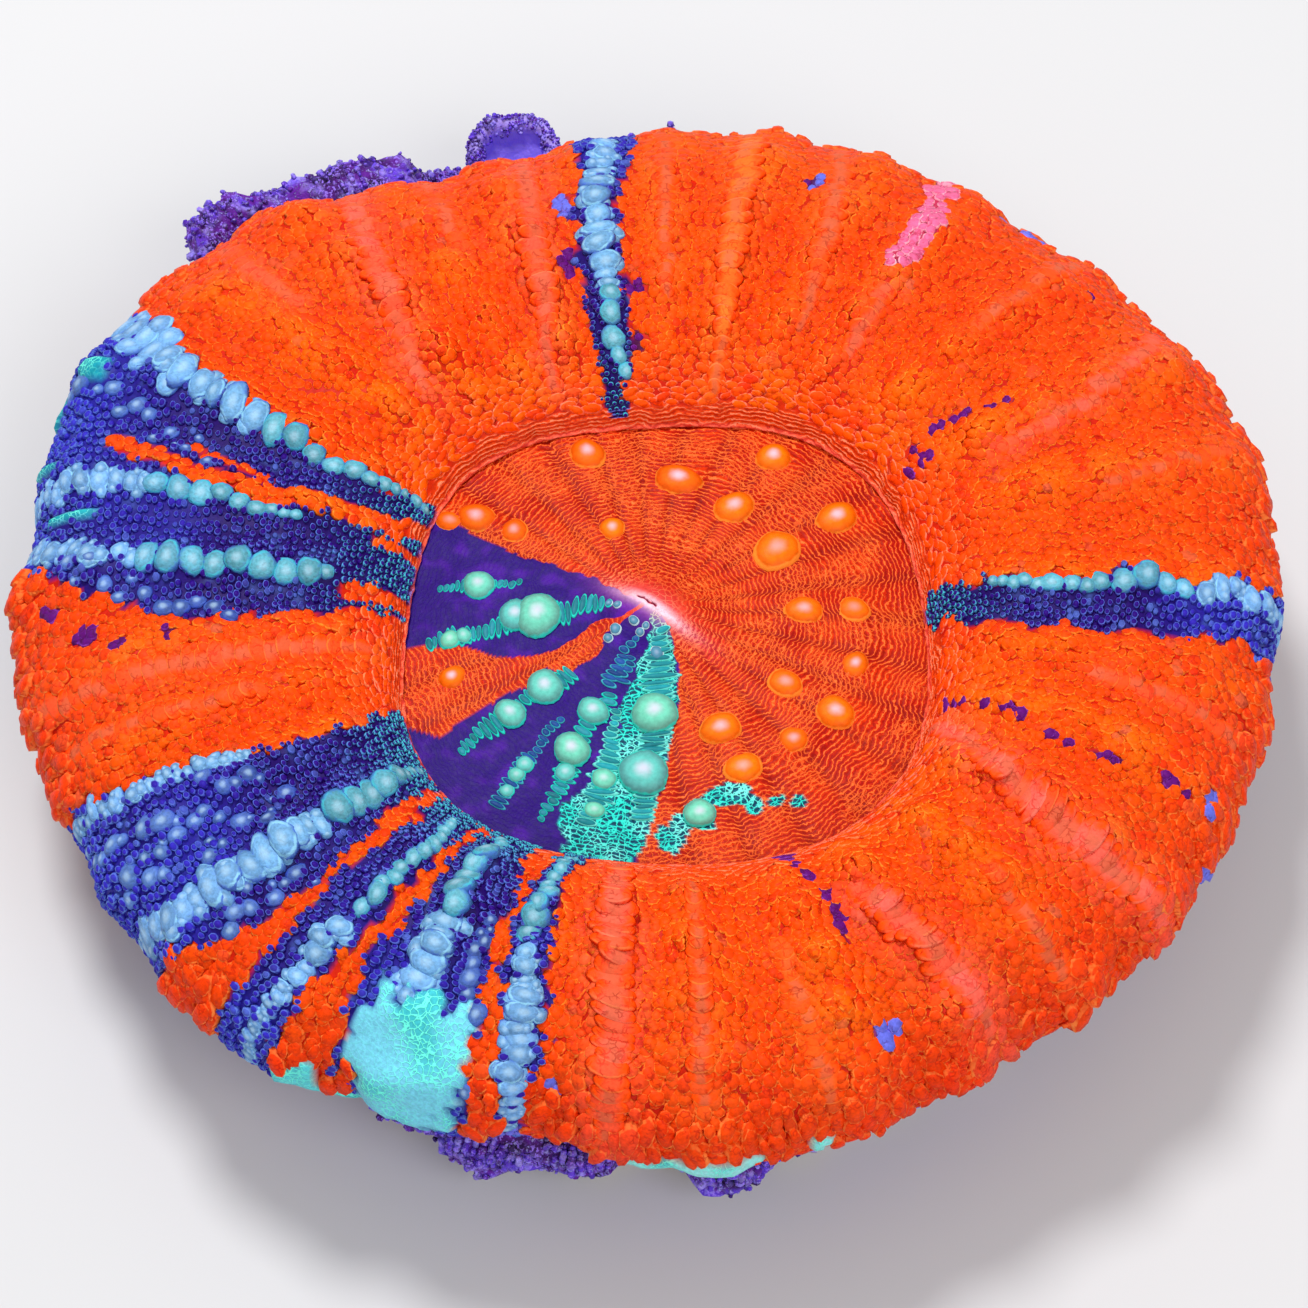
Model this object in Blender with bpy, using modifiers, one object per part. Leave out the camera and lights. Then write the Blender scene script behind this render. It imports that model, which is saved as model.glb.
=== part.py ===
"""A scolymia coral: one fleshy polyp on its own stony skeleton, with a worm tube at the back.

Metres, +Z up. The origin is in the flat cut under the skeleton, below the polyp's mouth.
Directions are degrees anticlockwise from +X, seen from above; the coral's back is at 90.
"""

import bmesh
import bpy
from math import atan2, cos, degrees, exp, hypot, radians, sin, tan, tau
from mathutils import Matrix, Vector, noise

MM = 0.001
GAP = 0.3 * MM                 # left between pieces that touch

# Polyp: heights above the cut, and radii before the shape is pulled to its outline
FOLD_RADIUS = 21.5 * MM        # where the mantle folds over the oral disc
CREST_RADIUS = 32.0 * MM       # the highest line of the mantle
MARGIN_RADIUS = 49.5 * MM      # the widest line of the mantle
FOLD_Z = 20.0 * MM
CREST_Z = 25.2 * MM
MARGIN_Z = 15.5 * MM
HEM_Z = 11.5 * MM              # the lowest line, under the margin
HEM_CURL = 3.5 * MM            # how far the flesh curls in below the margin
SEAT_Z = 12.5 * MM             # the flat underside that sits on the skeleton
SEAT_RADIUS = 41.5 * MM
TURN_STEPS = 96

DISC_RISE = 1.6 * MM           # how far the disc's middle stands above the fold
DISC_SEPTA = 0.12 * MM         # low radial ribs of the disc
MOUTH_RISE = 1.3 * MM
MOUTH_WIDTH = 3.5 * MM
MOUTH_SLIT = (2.7 * MM, 0.42 * MM, 1.3 * MM)   # half length, half width, depth
MOUTH_TURN = -35

# The mantle's outline: (direction, push outward in mm, spread in degrees)
MARGIN_LOBES = (
    (22, 2.2, 22), (68, 0.8, 8), (108, -3.0, 12), (130, 1.4, 6), (150, 3.4, 18),
    (-177, 1.4, 10), (-133, 1.0, 9), (-118, -1.4, 6), (-101, -2.2, 8), (-56, -1.5, 16),
)

# Ridges of the mantle over the septa: (direction, height in mm)
RIDGES = (
    (2, 0.7), (17, 0.7), (29, 0.9), (43, 0.7), (57, 1.0), (67, 0.8), (78, 1.1), (88, 0.6),
    (97, 1.0), (107, 1.2), (117, 0.6), (127, 1.2), (140, 0.7), (152, 1.0), (164, 0.9), (176, 0.9),
    (188, 0.6), (198, 0.6), (209, 0.8), (220, 1.1), (233, 0.9), (244, 1.1), (255, 1.0), (265, 1.1),
    (276, 0.9), (291, 1.0), (302, 1.2), (315, 0.8), (327, 1.2), (339, 0.7), (350, 0.7),
)
RIDGE_SPREAD = 3.1             # degrees from a ridge's top to where it has sunk by two thirds
RIDGE_WAVE = 0.4               # how strongly a ridge is broken into low swellings
RIDGE_WAVES = 5
TOOTH = 0.7 * MM               # pointed papillae along the margin
MARGIN_LIFTS = ((3, 0.9, 40), (7, 0.5, 0))     # waves round the margin, mm they lift it, start

# Domed vesicles on the oral disc: (direction, distance from the mouth, radius), in degrees and mm
VESICLES = (
    (108, 16.6, 1.7), (80, 13.1, 1.9), (57, 18.4, 1.6), (56, 12.1, 1.8), (32, 17.7, 1.8),
    (30, 11.7, 2.1), (1, 12.2, 1.6), (2, 16.2, 1.4), (-16, 16.8, 1.3), (-32, 12.5, 1.5),
    (-32, 17.1, 1.7), (-46, 16.1, 1.3), (-63, 12.1, 1.7), (-63, 15.9, 1.6), (-78, 18.4, 1.4),
    (-88, 9.4, 2.0), (-92, 14.6, 2.1), (-116, 10.2, 1.4), (-116, 13.9, 1.6), (-140, 10.8, 1.6),
    (-140, 14.3, 1.4), (-178, 8.9, 2.1), (168, 14.0, 1.4), (146, 16.9, 1.7), (144, 13.5, 1.3),
)
VESICLE_FLATNESS = 0.72

# Skeleton
WALL_RADIUS = 40.0 * MM
FOOT_RADIUS = 38.0 * MM
SKELETON_STEPS = 90
COSTAE = 30                    # vertical ribs of the wall
COSTA_HEIGHT = 0.7 * MM
CRUST_LUMP = 1.3 * MM
CRUST_GRAIN = 7.0 * MM         # size of the crust's lumps
WALL_LOBES = ((-108, 3.0, 13), (-80, 3.6, 5), (20, 1.5, 20))
LEDGE_FROM = 71                # the crust ledge behind the flesh spans these directions
LEDGE_TO = 139
LEDGE_EASE = 7
LEDGE_REACH = 54.5 * MM
LEDGE_LOBES = ((127, 5.2, 9), (106, 4.6, 12), (84, 0.6, 8))
LEDGE_TOP_Z = 12.6 * MM

# Worm tube: it stands in a flat dip of the ledge and leans outward
TUBE_DIRECTION = 103
TUBE_DISTANCE = 54.0 * MM
TUBE_SEAT_Z = 7.2 * MM
TUBE_SEAT_SPREAD = 10          # degrees
TUBE_HEIGHT = 5.0 * MM
TUBE_RADIUS = 3.7 * MM
TUBE_WALL = 1.0 * MM
TUBE_FOOT_RADIUS = 4.3 * MM
TUBE_DEPTH = 3.6 * MM
TUBE_STEPS = 22
TUBE_LEAN = 18                 # degrees from upright
TUBE_LEAN_TOWARD = 80          # direction it leans to


# ---------------------------------------------------------------- shape rules

def turn_between(direction, other):
    """The signed angle in degrees from other to direction."""
    return (direction - other + 180) % 360 - 180


def lobes(direction, table):
    """The sum of the bulges and dents in a table, in metres."""
    total = 0.0
    for at, push, spread in table:
        total += push * MM * exp(-((turn_between(direction, at) / spread) ** 2))
    return total


def smooth(value):
    """A smooth step from 0 to 1."""
    value = min(max(value, 0.0), 1.0)
    return value * value * (3 - 2 * value)


def fold_radius(direction):
    angle = radians(direction)
    return (21.7 + 1.3 * cos(angle) - 1.9 * sin(angle) - 0.9 * cos(4 * angle)) * MM


def margin_radius(direction):
    angle = radians(direction)
    round_part = (48.6 + 2.6 * sin(angle) + 0.3 * cos(2 * angle)) * MM
    return round_part + lobes(direction, MARGIN_LOBES)


def pulled_radius(radius, direction):
    """Moves a radius of the turned shape out or in, to the polyp's real outline."""
    fold = fold_radius(direction)
    if radius <= FOLD_RADIUS:
        return radius * fold / FOLD_RADIUS
    across = (radius - FOLD_RADIUS) / (MARGIN_RADIUS - FOLD_RADIUS)
    return fold + across * (margin_radius(direction) - fold)


def ridge_relief(direction, across):
    """Height of the septal ridges, across = 0 at the fold and 1 at the margin."""
    height = 0.0
    for number, (at, top) in enumerate(RIDGES):
        near = exp(-((turn_between(direction, at) / RIDGE_SPREAD) ** 2))
        wave = 1 + RIDGE_WAVE * cos(tau * RIDGE_WAVES * across + 2.1 * number)
        height += top * MM * near * wave
    return height * smooth(across / 0.25)


# ---------------------------------------------------------------- building blocks

def material(name, colour, roughness):
    made = bpy.data.materials.new(name)
    made.use_nodes = True
    shader = made.node_tree.nodes["Principled BSDF"]
    shader.inputs["Base Color"].default_value = (*colour, 1)
    shader.inputs["Roughness"].default_value = roughness
    shader.inputs["Metallic"].default_value = 0
    made.diffuse_color = (*colour, 1)
    return made


def turned_mesh(name, profile, steps):
    """Turns a profile of (radius, height) points, given down its outer side, about Z."""
    mesh = bpy.data.meshes.new(name + "_profile")
    edges = [(i, i + 1) for i in range(len(profile) - 1)]
    mesh.from_pydata([(radius, 0, height) for radius, height in profile], edges, [])
    source = bpy.data.objects.new(name + "_profile", mesh)
    bpy.context.scene.collection.objects.link(source)
    screw = source.modifiers.new("turn", "SCREW")
    screw.axis = "Z"
    screw.steps = steps
    screw.render_steps = steps
    screw.use_merge_vertices = True
    screw.merge_threshold = 0.01 * MM
    bpy.context.view_layer.update()
    evaluated = source.evaluated_get(bpy.context.evaluated_depsgraph_get())
    turned = bpy.data.meshes.new_from_object(evaluated)
    turned.name = name
    bpy.data.objects.remove(source)
    return turned


def move_points(mesh, rule):
    """Moves each point by a rule that takes its direction, radius and height."""
    for vertex in mesh.vertices:
        point = vertex.co
        radius = hypot(point.x, point.y)
        direction = degrees(atan2(point.y, point.x))
        vertex.co = rule(direction, radius, point.z)


def at(direction, radius, height):
    angle = radians(direction)
    return Vector((radius * cos(angle), radius * sin(angle), height))


def add_object(mesh, finish, collection):
    mesh.materials.clear()
    mesh.materials.append(finish)
    made = bpy.data.objects.new(mesh.name, mesh)
    collection.objects.link(made)
    return made


def round_off(mesh, sharp_from):
    mesh.shade_smooth()
    mesh.set_sharp_from_angle(angle=radians(sharp_from))


# ---------------------------------------------------------------- polyp

def polyp_profile():
    """Half a section through the polyp, from the mouth over the mantle to the seat's middle."""
    points = [(0, FOLD_Z + DISC_RISE + MOUTH_RISE)]
    for share in (0.07, 0.14, 0.23, 0.33, 0.44, 0.55, 0.66, 0.77, 0.87, 0.95, 1.0):
        radius = share * FOLD_RADIUS
        rise = DISC_RISE * (1 - share ** 2) + MOUTH_RISE * exp(-((radius / MOUTH_WIDTH) ** 2))
        points.append((radius, FOLD_Z + rise))
    for turn in (16, 35, 58, 90):
        radius = CREST_RADIUS - (CREST_RADIUS - FOLD_RADIUS) * cos(radians(turn))
        points.append((radius, FOLD_Z + (CREST_Z - FOLD_Z) * sin(radians(turn))))
    for turn in (12, 22, 32, 42, 52, 61, 70, 79, 90):
        radius = CREST_RADIUS + (MARGIN_RADIUS - CREST_RADIUS) * sin(radians(turn)) ** 0.92
        points.append((radius, MARGIN_Z + (CREST_Z - MARGIN_Z) * max(cos(radians(turn)), 0) ** 0.92))
    for turn in (35, 90):
        radius = MARGIN_RADIUS - HEM_CURL * (1 - cos(radians(turn)))
        points.append((radius, MARGIN_Z - (MARGIN_Z - HEM_Z) * sin(radians(turn))))
    points.append((SEAT_RADIUS, SEAT_Z))
    points.append((SEAT_RADIUS / 2, SEAT_Z))
    points.append((0, SEAT_Z))
    return points


def margin_lift(direction, across):
    """How far the margin's waves lift the outer part of the mantle."""
    lift = sum(top * MM * (1 + sin(radians(direction * waves + start))) / 2 for waves, top, start in MARGIN_LIFTS)
    return lift * smooth((across - 0.6) / 0.4)


def shape_polyp(direction, radius, height):
    """Pulls the turned polyp to its outline and raises its ridges, septa and teeth."""
    pulled = pulled_radius(radius, direction)
    across = (radius - FOLD_RADIUS) / (MARGIN_RADIUS - FOLD_RADIUS)
    if abs(height - SEAT_Z) < 0.01 * MM:
        return at(direction, pulled, height)
    height += margin_lift(direction, across)
    if height < MARGIN_Z - 1.0 * MM:
        return at(direction, pulled, height)
    if across <= 0:
        septa = DISC_SEPTA * cos(radians(direction) * len(RIDGES)) * smooth(radius / FOLD_RADIUS)
        return at(direction, pulled, height + septa)
    relief = ridge_relief(direction, across)
    steepness = smooth((across - 0.55) / 0.45)
    tooth = TOOTH * (round(direction / 360 * TURN_STEPS) % 2) * smooth((across - 0.93) / 0.07)
    pulled += relief * 0.7 * steepness + tooth
    return at(direction, pulled, height + relief * (1 - 0.6 * steepness))


def add_dome(direction, distance, radius, collection):
    """A vesicle: a low ball sunk into the oral disc, to be joined to the polyp."""
    share = distance / FOLD_RADIUS
    height = FOLD_Z + DISC_RISE * (1 - share ** 2)
    mesh = bpy.data.meshes.new("vesicle")
    ball = bmesh.new()
    bmesh.ops.create_icosphere(ball, subdivisions=2, radius=radius)
    bmesh.ops.scale(ball, vec=(1, 1, VESICLE_FLATNESS), verts=ball.verts)
    bmesh.ops.translate(ball, vec=at(direction, distance, height), verts=ball.verts)
    ball.to_mesh(mesh)
    ball.free()
    dome = bpy.data.objects.new("vesicle", mesh)
    collection.objects.link(dome)


def add_mouth_cutter(collection):
    """The lens that cuts the mouth slit."""
    length, width, depth = MOUTH_SLIT
    mesh = bpy.data.meshes.new("mouth_slit")
    lens = bmesh.new()
    bmesh.ops.create_uvsphere(lens, u_segments=16, v_segments=8, radius=1)
    turn = Matrix.Rotation(radians(MOUTH_TURN), 4, "Z")
    place = Matrix.Translation((0, 0, FOLD_Z + DISC_RISE + MOUTH_RISE))
    bmesh.ops.transform(lens, matrix=place @ turn @ Matrix.Diagonal((length, width, depth, 1)), verts=lens.verts)
    lens.to_mesh(mesh)
    lens.free()
    cutter = bpy.data.objects.new("mouth_slit", mesh)
    collection.objects.link(cutter)
    return cutter


def hide_tool(tool):
    tool.hide_render = True
    tool.display_type = "WIRE"


def add_polyp(collection, domes, cutters):
    mesh = turned_mesh("polyp", polyp_profile(), TURN_STEPS)
    move_points(mesh, shape_polyp)
    round_off(mesh, 55)
    polyp = add_object(mesh, material("flesh", (0.95, 0.13, 0.01), 0.4), collection)
    for direction, distance, radius in VESICLES:
        add_dome(direction, distance * MM, radius * MM, domes)
    join = polyp.modifiers.new("vesicles", "BOOLEAN")
    join.operation = "UNION"
    join.operand_type = "COLLECTION"
    join.collection = domes
    slit = polyp.modifiers.new("mouth", "BOOLEAN")
    slit.operation = "DIFFERENCE"
    slit.object = add_mouth_cutter(cutters)


# ---------------------------------------------------------------- skeleton

def ledge_share(direction):
    """1 where the crust ledge stands behind the flesh, 0 elsewhere."""
    middle = (LEDGE_FROM + LEDGE_TO) / 2
    half = (LEDGE_TO - LEDGE_FROM) / 2
    return smooth((half - abs(turn_between(direction, middle))) / LEDGE_EASE)


def underside_z(direction, radius):
    """The height of the flesh's underside, which falls from the seat to the hem."""
    seat = pulled_radius(SEAT_RADIUS, direction)
    hem = pulled_radius(MARGIN_RADIUS - HEM_CURL, direction)
    across = min(max((radius - seat) / (hem - seat), 0), 1)
    return SEAT_Z + across * (HEM_Z - SEAT_Z)


def wall_section(direction):
    """The plain wall of the stony cup: (radius, height) points from the top edge to the foot."""
    wall = WALL_RADIUS + lobes(direction, WALL_LOBES)
    rib = COSTA_HEIGHT * cos(radians(direction) * COSTAE)
    shoulder = underside_z(direction, wall - 1.0 * MM) - 1.3 * GAP
    return [
        (pulled_radius(SEAT_RADIUS - 3.0 * MM, direction), SEAT_Z - GAP), (wall - 1.0 * MM, shoulder),
        (wall - 0.2 * MM, shoulder - 0.7 * MM), (wall + rib * 0.6, shoulder - 1.8 * MM),
        (wall + rib, shoulder - 3.2 * MM), (wall + rib, 7.2 * MM), (wall - 0.4 * MM + rib, 5.6 * MM),
        (wall - 1.0 * MM + rib, 3.8 * MM), (FOOT_RADIUS + 0.8 * MM + rib, 1.8 * MM), (FOOT_RADIUS, 0),
    ]


def tube_seat_share(direction):
    """1 where the ledge is flat for the worm tube, 0 elsewhere."""
    return smooth((TUBE_SEAT_SPREAD - abs(turn_between(direction, TUBE_DIRECTION))) / 3)


def ledge_section(direction):
    """The crust ledge: it passes under the flesh, then rises behind it."""
    flesh = margin_radius(direction)
    reach = max(LEDGE_REACH + lobes(direction, LEDGE_LOBES), flesh + 3.5 * MM)
    dip = tube_seat_share(direction)
    inner_z = LEDGE_TOP_Z - 1.2 * MM
    inner_z += dip * (TUBE_SEAT_Z - inner_z)
    outer_z = LEDGE_TOP_Z + dip * (TUBE_SEAT_Z - LEDGE_TOP_Z)
    return [
        (pulled_radius(SEAT_RADIUS - 3.0 * MM, direction), SEAT_Z - GAP),
        (pulled_radius(MARGIN_RADIUS - HEM_CURL, direction), HEM_Z - 2 * GAP),
        (flesh - 0.5 * MM, HEM_Z - 3 * GAP), (flesh + 1.2 * MM, inner_z),
        ((flesh + reach) / 2, (inner_z + outer_z) / 2), (reach - 1.2 * MM, outer_z),
        (reach, outer_z - 1.8 * MM), (reach - 1.6 * MM, outer_z * 0.5),
        (reach - 6.0 * MM, outer_z * 0.24), (FOOT_RADIUS + 4.0 * MM, 0),
    ]


def skeleton_point(direction, row):
    """A point of the skeleton's side, lumpy with crust except where it meets the flesh or the cut."""
    share = ledge_share(direction)
    plain = Vector(wall_section(direction)[row])
    ledge = Vector(ledge_section(direction)[row])
    radius, height = plain.lerp(ledge, share)
    place = at(direction, radius, height)
    lump = noise.noise(place / CRUST_GRAIN) + 0.5 * noise.noise(place / CRUST_GRAIN * 2.3)
    lump *= CRUST_LUMP * (1 - tube_seat_share(direction))
    if row in (0, 1, 9):
        return place
    if row == 2:
        return at(direction, radius, height - abs(lump) * 0.4)
    if row == 3:
        return at(direction, radius + abs(lump), height - abs(lump) * 0.3)
    rise = lump * (0.3 + share) if row in (4, 5) else lump * 0.3
    return at(direction, radius + lump * (0.6 + share), height + rise)


def add_skeleton(collection):
    """Turns an upright profile, whose rows are then laid on the skeleton's sections."""
    rows = len(wall_section(0))
    profile = [(0, rows + 1)] + [(1, rows - row) for row in range(rows)] + [(0, 0)]
    mesh = turned_mesh("skeleton", profile, SKELETON_STEPS)

    def lay(direction, radius, height):
        if radius < 0.5:
            return Vector((0, 0, SEAT_Z - GAP if height > 1 else 0))
        return skeleton_point(direction, rows - round(height))

    move_points(mesh, lay)
    round_off(mesh, 40)
    add_object(mesh, material("crusted_stone", (0.13, 0.04, 0.30), 0.85), collection)


# ---------------------------------------------------------------- worm tube

def tube_profile():
    """Half a section through the tube: down the inside, round the rim and down the outside."""
    inner = TUBE_RADIUS - TUBE_WALL
    top = TUBE_HEIGHT
    return [
        (0, top - TUBE_DEPTH), (inner * 0.7, top - TUBE_DEPTH + 0.3 * MM), (inner, top - TUBE_DEPTH * 0.6),
        (inner + 0.1 * MM, top - 0.4 * MM), (TUBE_RADIUS - TUBE_WALL / 2, top), (TUBE_RADIUS, top - 0.5 * MM),
        (TUBE_RADIUS - 0.1 * MM, top - 2.0 * MM), (TUBE_FOOT_RADIUS, 0), (0, 0),
    ]


def add_worm_tube(collection):
    """The tube is turned upright, roughened and then leaned over its flat foot."""
    mesh = turned_mesh("worm_tube", tube_profile(), TUBE_STEPS)
    lean = at(TUBE_LEAN_TOWARD, tan(radians(TUBE_LEAN)), 0)

    def roughen_and_lean(direction, radius, height):
        above_foot = smooth(height / (2 * MM))
        lump = noise.noise(at(direction, 2.0, height / (3 * MM))) * 0.45 * MM * above_foot
        point = at(direction, radius + lump if radius > 0 else 0, height + lump * 0.6)
        return point + lean * height

    move_points(mesh, roughen_and_lean)
    round_off(mesh, 45)
    tube = add_object(mesh, material("tube_stone", (0.25, 0.12, 0.50), 0.7), collection)
    tube.location = at(TUBE_DIRECTION, TUBE_DISTANCE, TUBE_SEAT_Z + GAP)


# ---------------------------------------------------------------- model

def main():
    for leftover in list(bpy.data.objects):
        bpy.data.objects.remove(leftover)
    scene = bpy.context.scene
    coral = bpy.data.collections.new("scolymia_coral")
    domes = bpy.data.collections.new("vesicle_domes")
    cutters = bpy.data.collections.new("cutters")
    for collection in (coral, domes, cutters):
        scene.collection.children.link(collection)
    add_polyp(coral, domes, cutters)
    add_skeleton(coral)
    add_worm_tube(coral)
    for tool in list(domes.objects) + list(cutters.objects):
        hide_tool(tool)


main()
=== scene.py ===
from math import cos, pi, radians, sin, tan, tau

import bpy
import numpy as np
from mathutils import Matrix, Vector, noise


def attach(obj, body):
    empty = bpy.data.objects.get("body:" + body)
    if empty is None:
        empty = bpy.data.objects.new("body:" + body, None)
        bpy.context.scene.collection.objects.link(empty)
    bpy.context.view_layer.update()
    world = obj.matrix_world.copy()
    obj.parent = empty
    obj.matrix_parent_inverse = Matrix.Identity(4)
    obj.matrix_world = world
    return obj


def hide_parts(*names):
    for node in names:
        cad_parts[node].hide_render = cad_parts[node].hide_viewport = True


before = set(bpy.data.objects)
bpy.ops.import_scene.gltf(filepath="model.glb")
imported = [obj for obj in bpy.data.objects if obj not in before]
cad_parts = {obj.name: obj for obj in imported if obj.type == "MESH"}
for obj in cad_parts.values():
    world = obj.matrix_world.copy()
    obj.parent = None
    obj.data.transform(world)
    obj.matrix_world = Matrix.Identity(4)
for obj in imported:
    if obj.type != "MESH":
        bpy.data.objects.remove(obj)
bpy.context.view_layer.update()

# The looks of a scolymia coral: the skin, papillae and bubbles of its fleshy polyp, the crust of
# its skeleton and the worm tube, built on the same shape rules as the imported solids.
# Lengths are in millimetres until a mesh is made. A direction is in degrees anticlockwise from +X,
# seen from above. "Reach" runs over the mantle from 0 at the fold to 1 at the margin, and on past
# 1 below it.

MM = 0.001

# ---------------------------------------------------------------- the solids' sizes, in mm

FOLD_RADIUS, CREST_RADIUS, MARGIN_RADIUS, SEAT_RADIUS = 21.5, 32.0, 49.5, 41.5
FOLD_Z, CREST_Z, MARGIN_Z, HEM_Z, SEAT_Z = 20.0, 25.2, 15.5, 11.5, 12.5
HEM_CURL = 3.5
SHOULDER = 0.92             # under 1, the mantle bulges more before it turns down
REACH_BELOW = 25            # mm below the margin that count as one reach
DISC_RISE, MOUTH_RISE, MOUTH_WIDTH = 1.6, 1.3, 3.5
MOUTH_TURN = -35
GAP = 0.3

# (direction, push outward, spread in degrees)
MARGIN_LOBES = (
    (22, 2.2, 22), (68, 0.8, 8), (108, -3.0, 12), (130, 1.4, 6), (150, 3.4, 18),
    (-177, 1.4, 10), (-133, 1.0, 9), (-118, -1.4, 6), (-101, -2.2, 8), (-56, -1.5, 16),
)
# Ridges of the mantle over the septa: (direction, height)
RIDGES = (
    (2, 0.7), (17, 0.7), (29, 0.9), (43, 0.7), (57, 1.0), (67, 0.8), (78, 1.1), (88, 0.6),
    (97, 1.0), (107, 1.2), (117, 0.6), (127, 1.2), (140, 0.7), (152, 1.0), (164, 0.9), (176, 0.9),
    (188, 0.6), (198, 0.6), (209, 0.8), (220, 1.1), (233, 0.9), (244, 1.1), (255, 1.0), (265, 1.1),
    (276, 0.9), (291, 1.0), (302, 1.2), (315, 0.8), (327, 1.2), (339, 0.7), (350, 0.7),
)
RIDGE_SPREAD, RIDGE_WAVE, RIDGE_WAVES = 3.1, 0.4, 5
SEPTA = len(RIDGES)
MARGIN_LIFTS = ((3, 0.9, 40), (7, 0.5, 0))

# Domed vesicles of the oral disc: (direction, distance from the mouth, radius)
ORANGE_VESICLES = (
    (108, 16.6, 1.7), (80, 13.1, 1.9), (57, 18.4, 1.6), (56, 12.1, 1.8), (32, 17.7, 1.8),
    (30, 11.7, 2.1), (1, 12.2, 1.6), (2, 16.2, 1.4), (-16, 16.8, 1.3), (-32, 12.5, 1.5),
    (-32, 17.1, 1.7), (-46, 16.1, 1.3), (-63, 12.1, 1.7), (-63, 15.9, 1.6), (146, 16.9, 1.7),
    (144, 13.5, 1.3), (111, 8.5, 1.2), (150, 18.6, 1.3), (-160, 16.6, 1.2),
)
TEAL_VESICLES = (
    (-78, 18.4, 1.4), (-88, 9.4, 2.0), (-92, 14.6, 2.1), (-116, 10.2, 1.4), (-116, 13.9, 1.6),
    (-140, 10.8, 1.6), (-140, 14.3, 1.4), (-178, 8.9, 2.1), (168, 14.0, 1.4),
)
VESICLE_FLATNESS = 0.5

WALL_RADIUS, FOOT_RADIUS = 40.0, 38.0
COSTAE, COSTA_HEIGHT = 30, 0.7
CRUST_LUMP, CRUST_GRAIN = 1.3, 7.0
WALL_LOBES = ((-108, 3.0, 13), (-80, 3.6, 5), (20, 1.5, 20))
LEDGE_FROM, LEDGE_TO, LEDGE_EASE = 71, 139, 7
LEDGE_REACH, LEDGE_TOP_Z = 54.5, 12.6
LEDGE_LOBES = ((127, 5.2, 9), (106, 4.6, 12), (84, 0.6, 8))
CRUST_HUMPS = ((137, 2.6, 6), (118, 2.2, 4), (110, 1.2, 3))

TUBE_DIRECTION, TUBE_DISTANCE, TUBE_SEAT_Z, TUBE_SEAT_SPREAD = 103, 54.0, 7.2, 10
TUBE_HEIGHT, TUBE_RADIUS, TUBE_WALL, TUBE_FOOT_RADIUS, TUBE_DEPTH = 5.0, 3.7, 1.0, 4.3, 3.6
TUBE_LEAN, TUBE_LEAN_TOWARD = 18, 80
FRINGE_DIRECTION, FRINGE_SPREAD = 262, 46      # of the beads under the near margin
WRINKLE_PITCH = 0.42

# What the pieces stand for: (node, slot)
FLESH, STONE, TUBE = ("polyp", "flesh"), ("skeleton", "crusted_stone"), ("worm_tube", "tube_stone")

# ---------------------------------------------------------------- colours


def paint(red, green, blue):
    """A colour given as it shows on a screen, 0 to 255, as the shaders want it."""
    share = np.array([red, green, blue]) / 255
    return np.where(share <= 0.04045, share / 12.92, ((share + 0.055) / 1.055) ** 2.4)


ORANGE = paint(255, 74, 0)
ORANGE_YELLOW = paint(255, 96, 0)
ORANGE_RED = paint(238, 48, 4)
CORAL_PINK = paint(250, 100, 84)
BROWN_GREY = paint(196, 96, 62)
# The furrow colour below is painted shade for the furrows between the ridges.
FURROW_SHADE = paint(232, 58, 0)
PALE_ORANGE = paint(255, 128, 44)
# The rim colours are painted highlights: the bright edges of papillae, bubbles and rings, and the crests of
# wrinkles.
HIGHLIGHT_ORANGE = paint(255, 140, 40)
HIGHLIGHT_PINK = paint(255, 128, 104)
INDIGO = paint(44, 4, 120)
INDIGO_BLUE = paint(52, 44, 190)
GREY_BLUE = paint(84, 112, 196)
HIGHLIGHT_VIOLET = paint(100, 122, 226)
HIGHLIGHT_TEAL = paint(70, 190, 205)
TEAL_GREY = paint(94, 170, 188)
SKY_BLUE = paint(112, 158, 226)
HIGHLIGHT_SKY = paint(150, 214, 240)
NEON_TEAL = paint(40, 226, 206)
PALE_TEAL = paint(120, 240, 228)
VIOLET = paint(96, 14, 116)
LILAC = paint(150, 130, 235)
MAGENTA_PINK = paint(240, 104, 150)
PALE_PINK = paint(255, 196, 208)

# ---------------------------------------------------------------- colour fields of the mantle
# An indigo field lies between two edges, each a line of (reach, direction).

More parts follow.
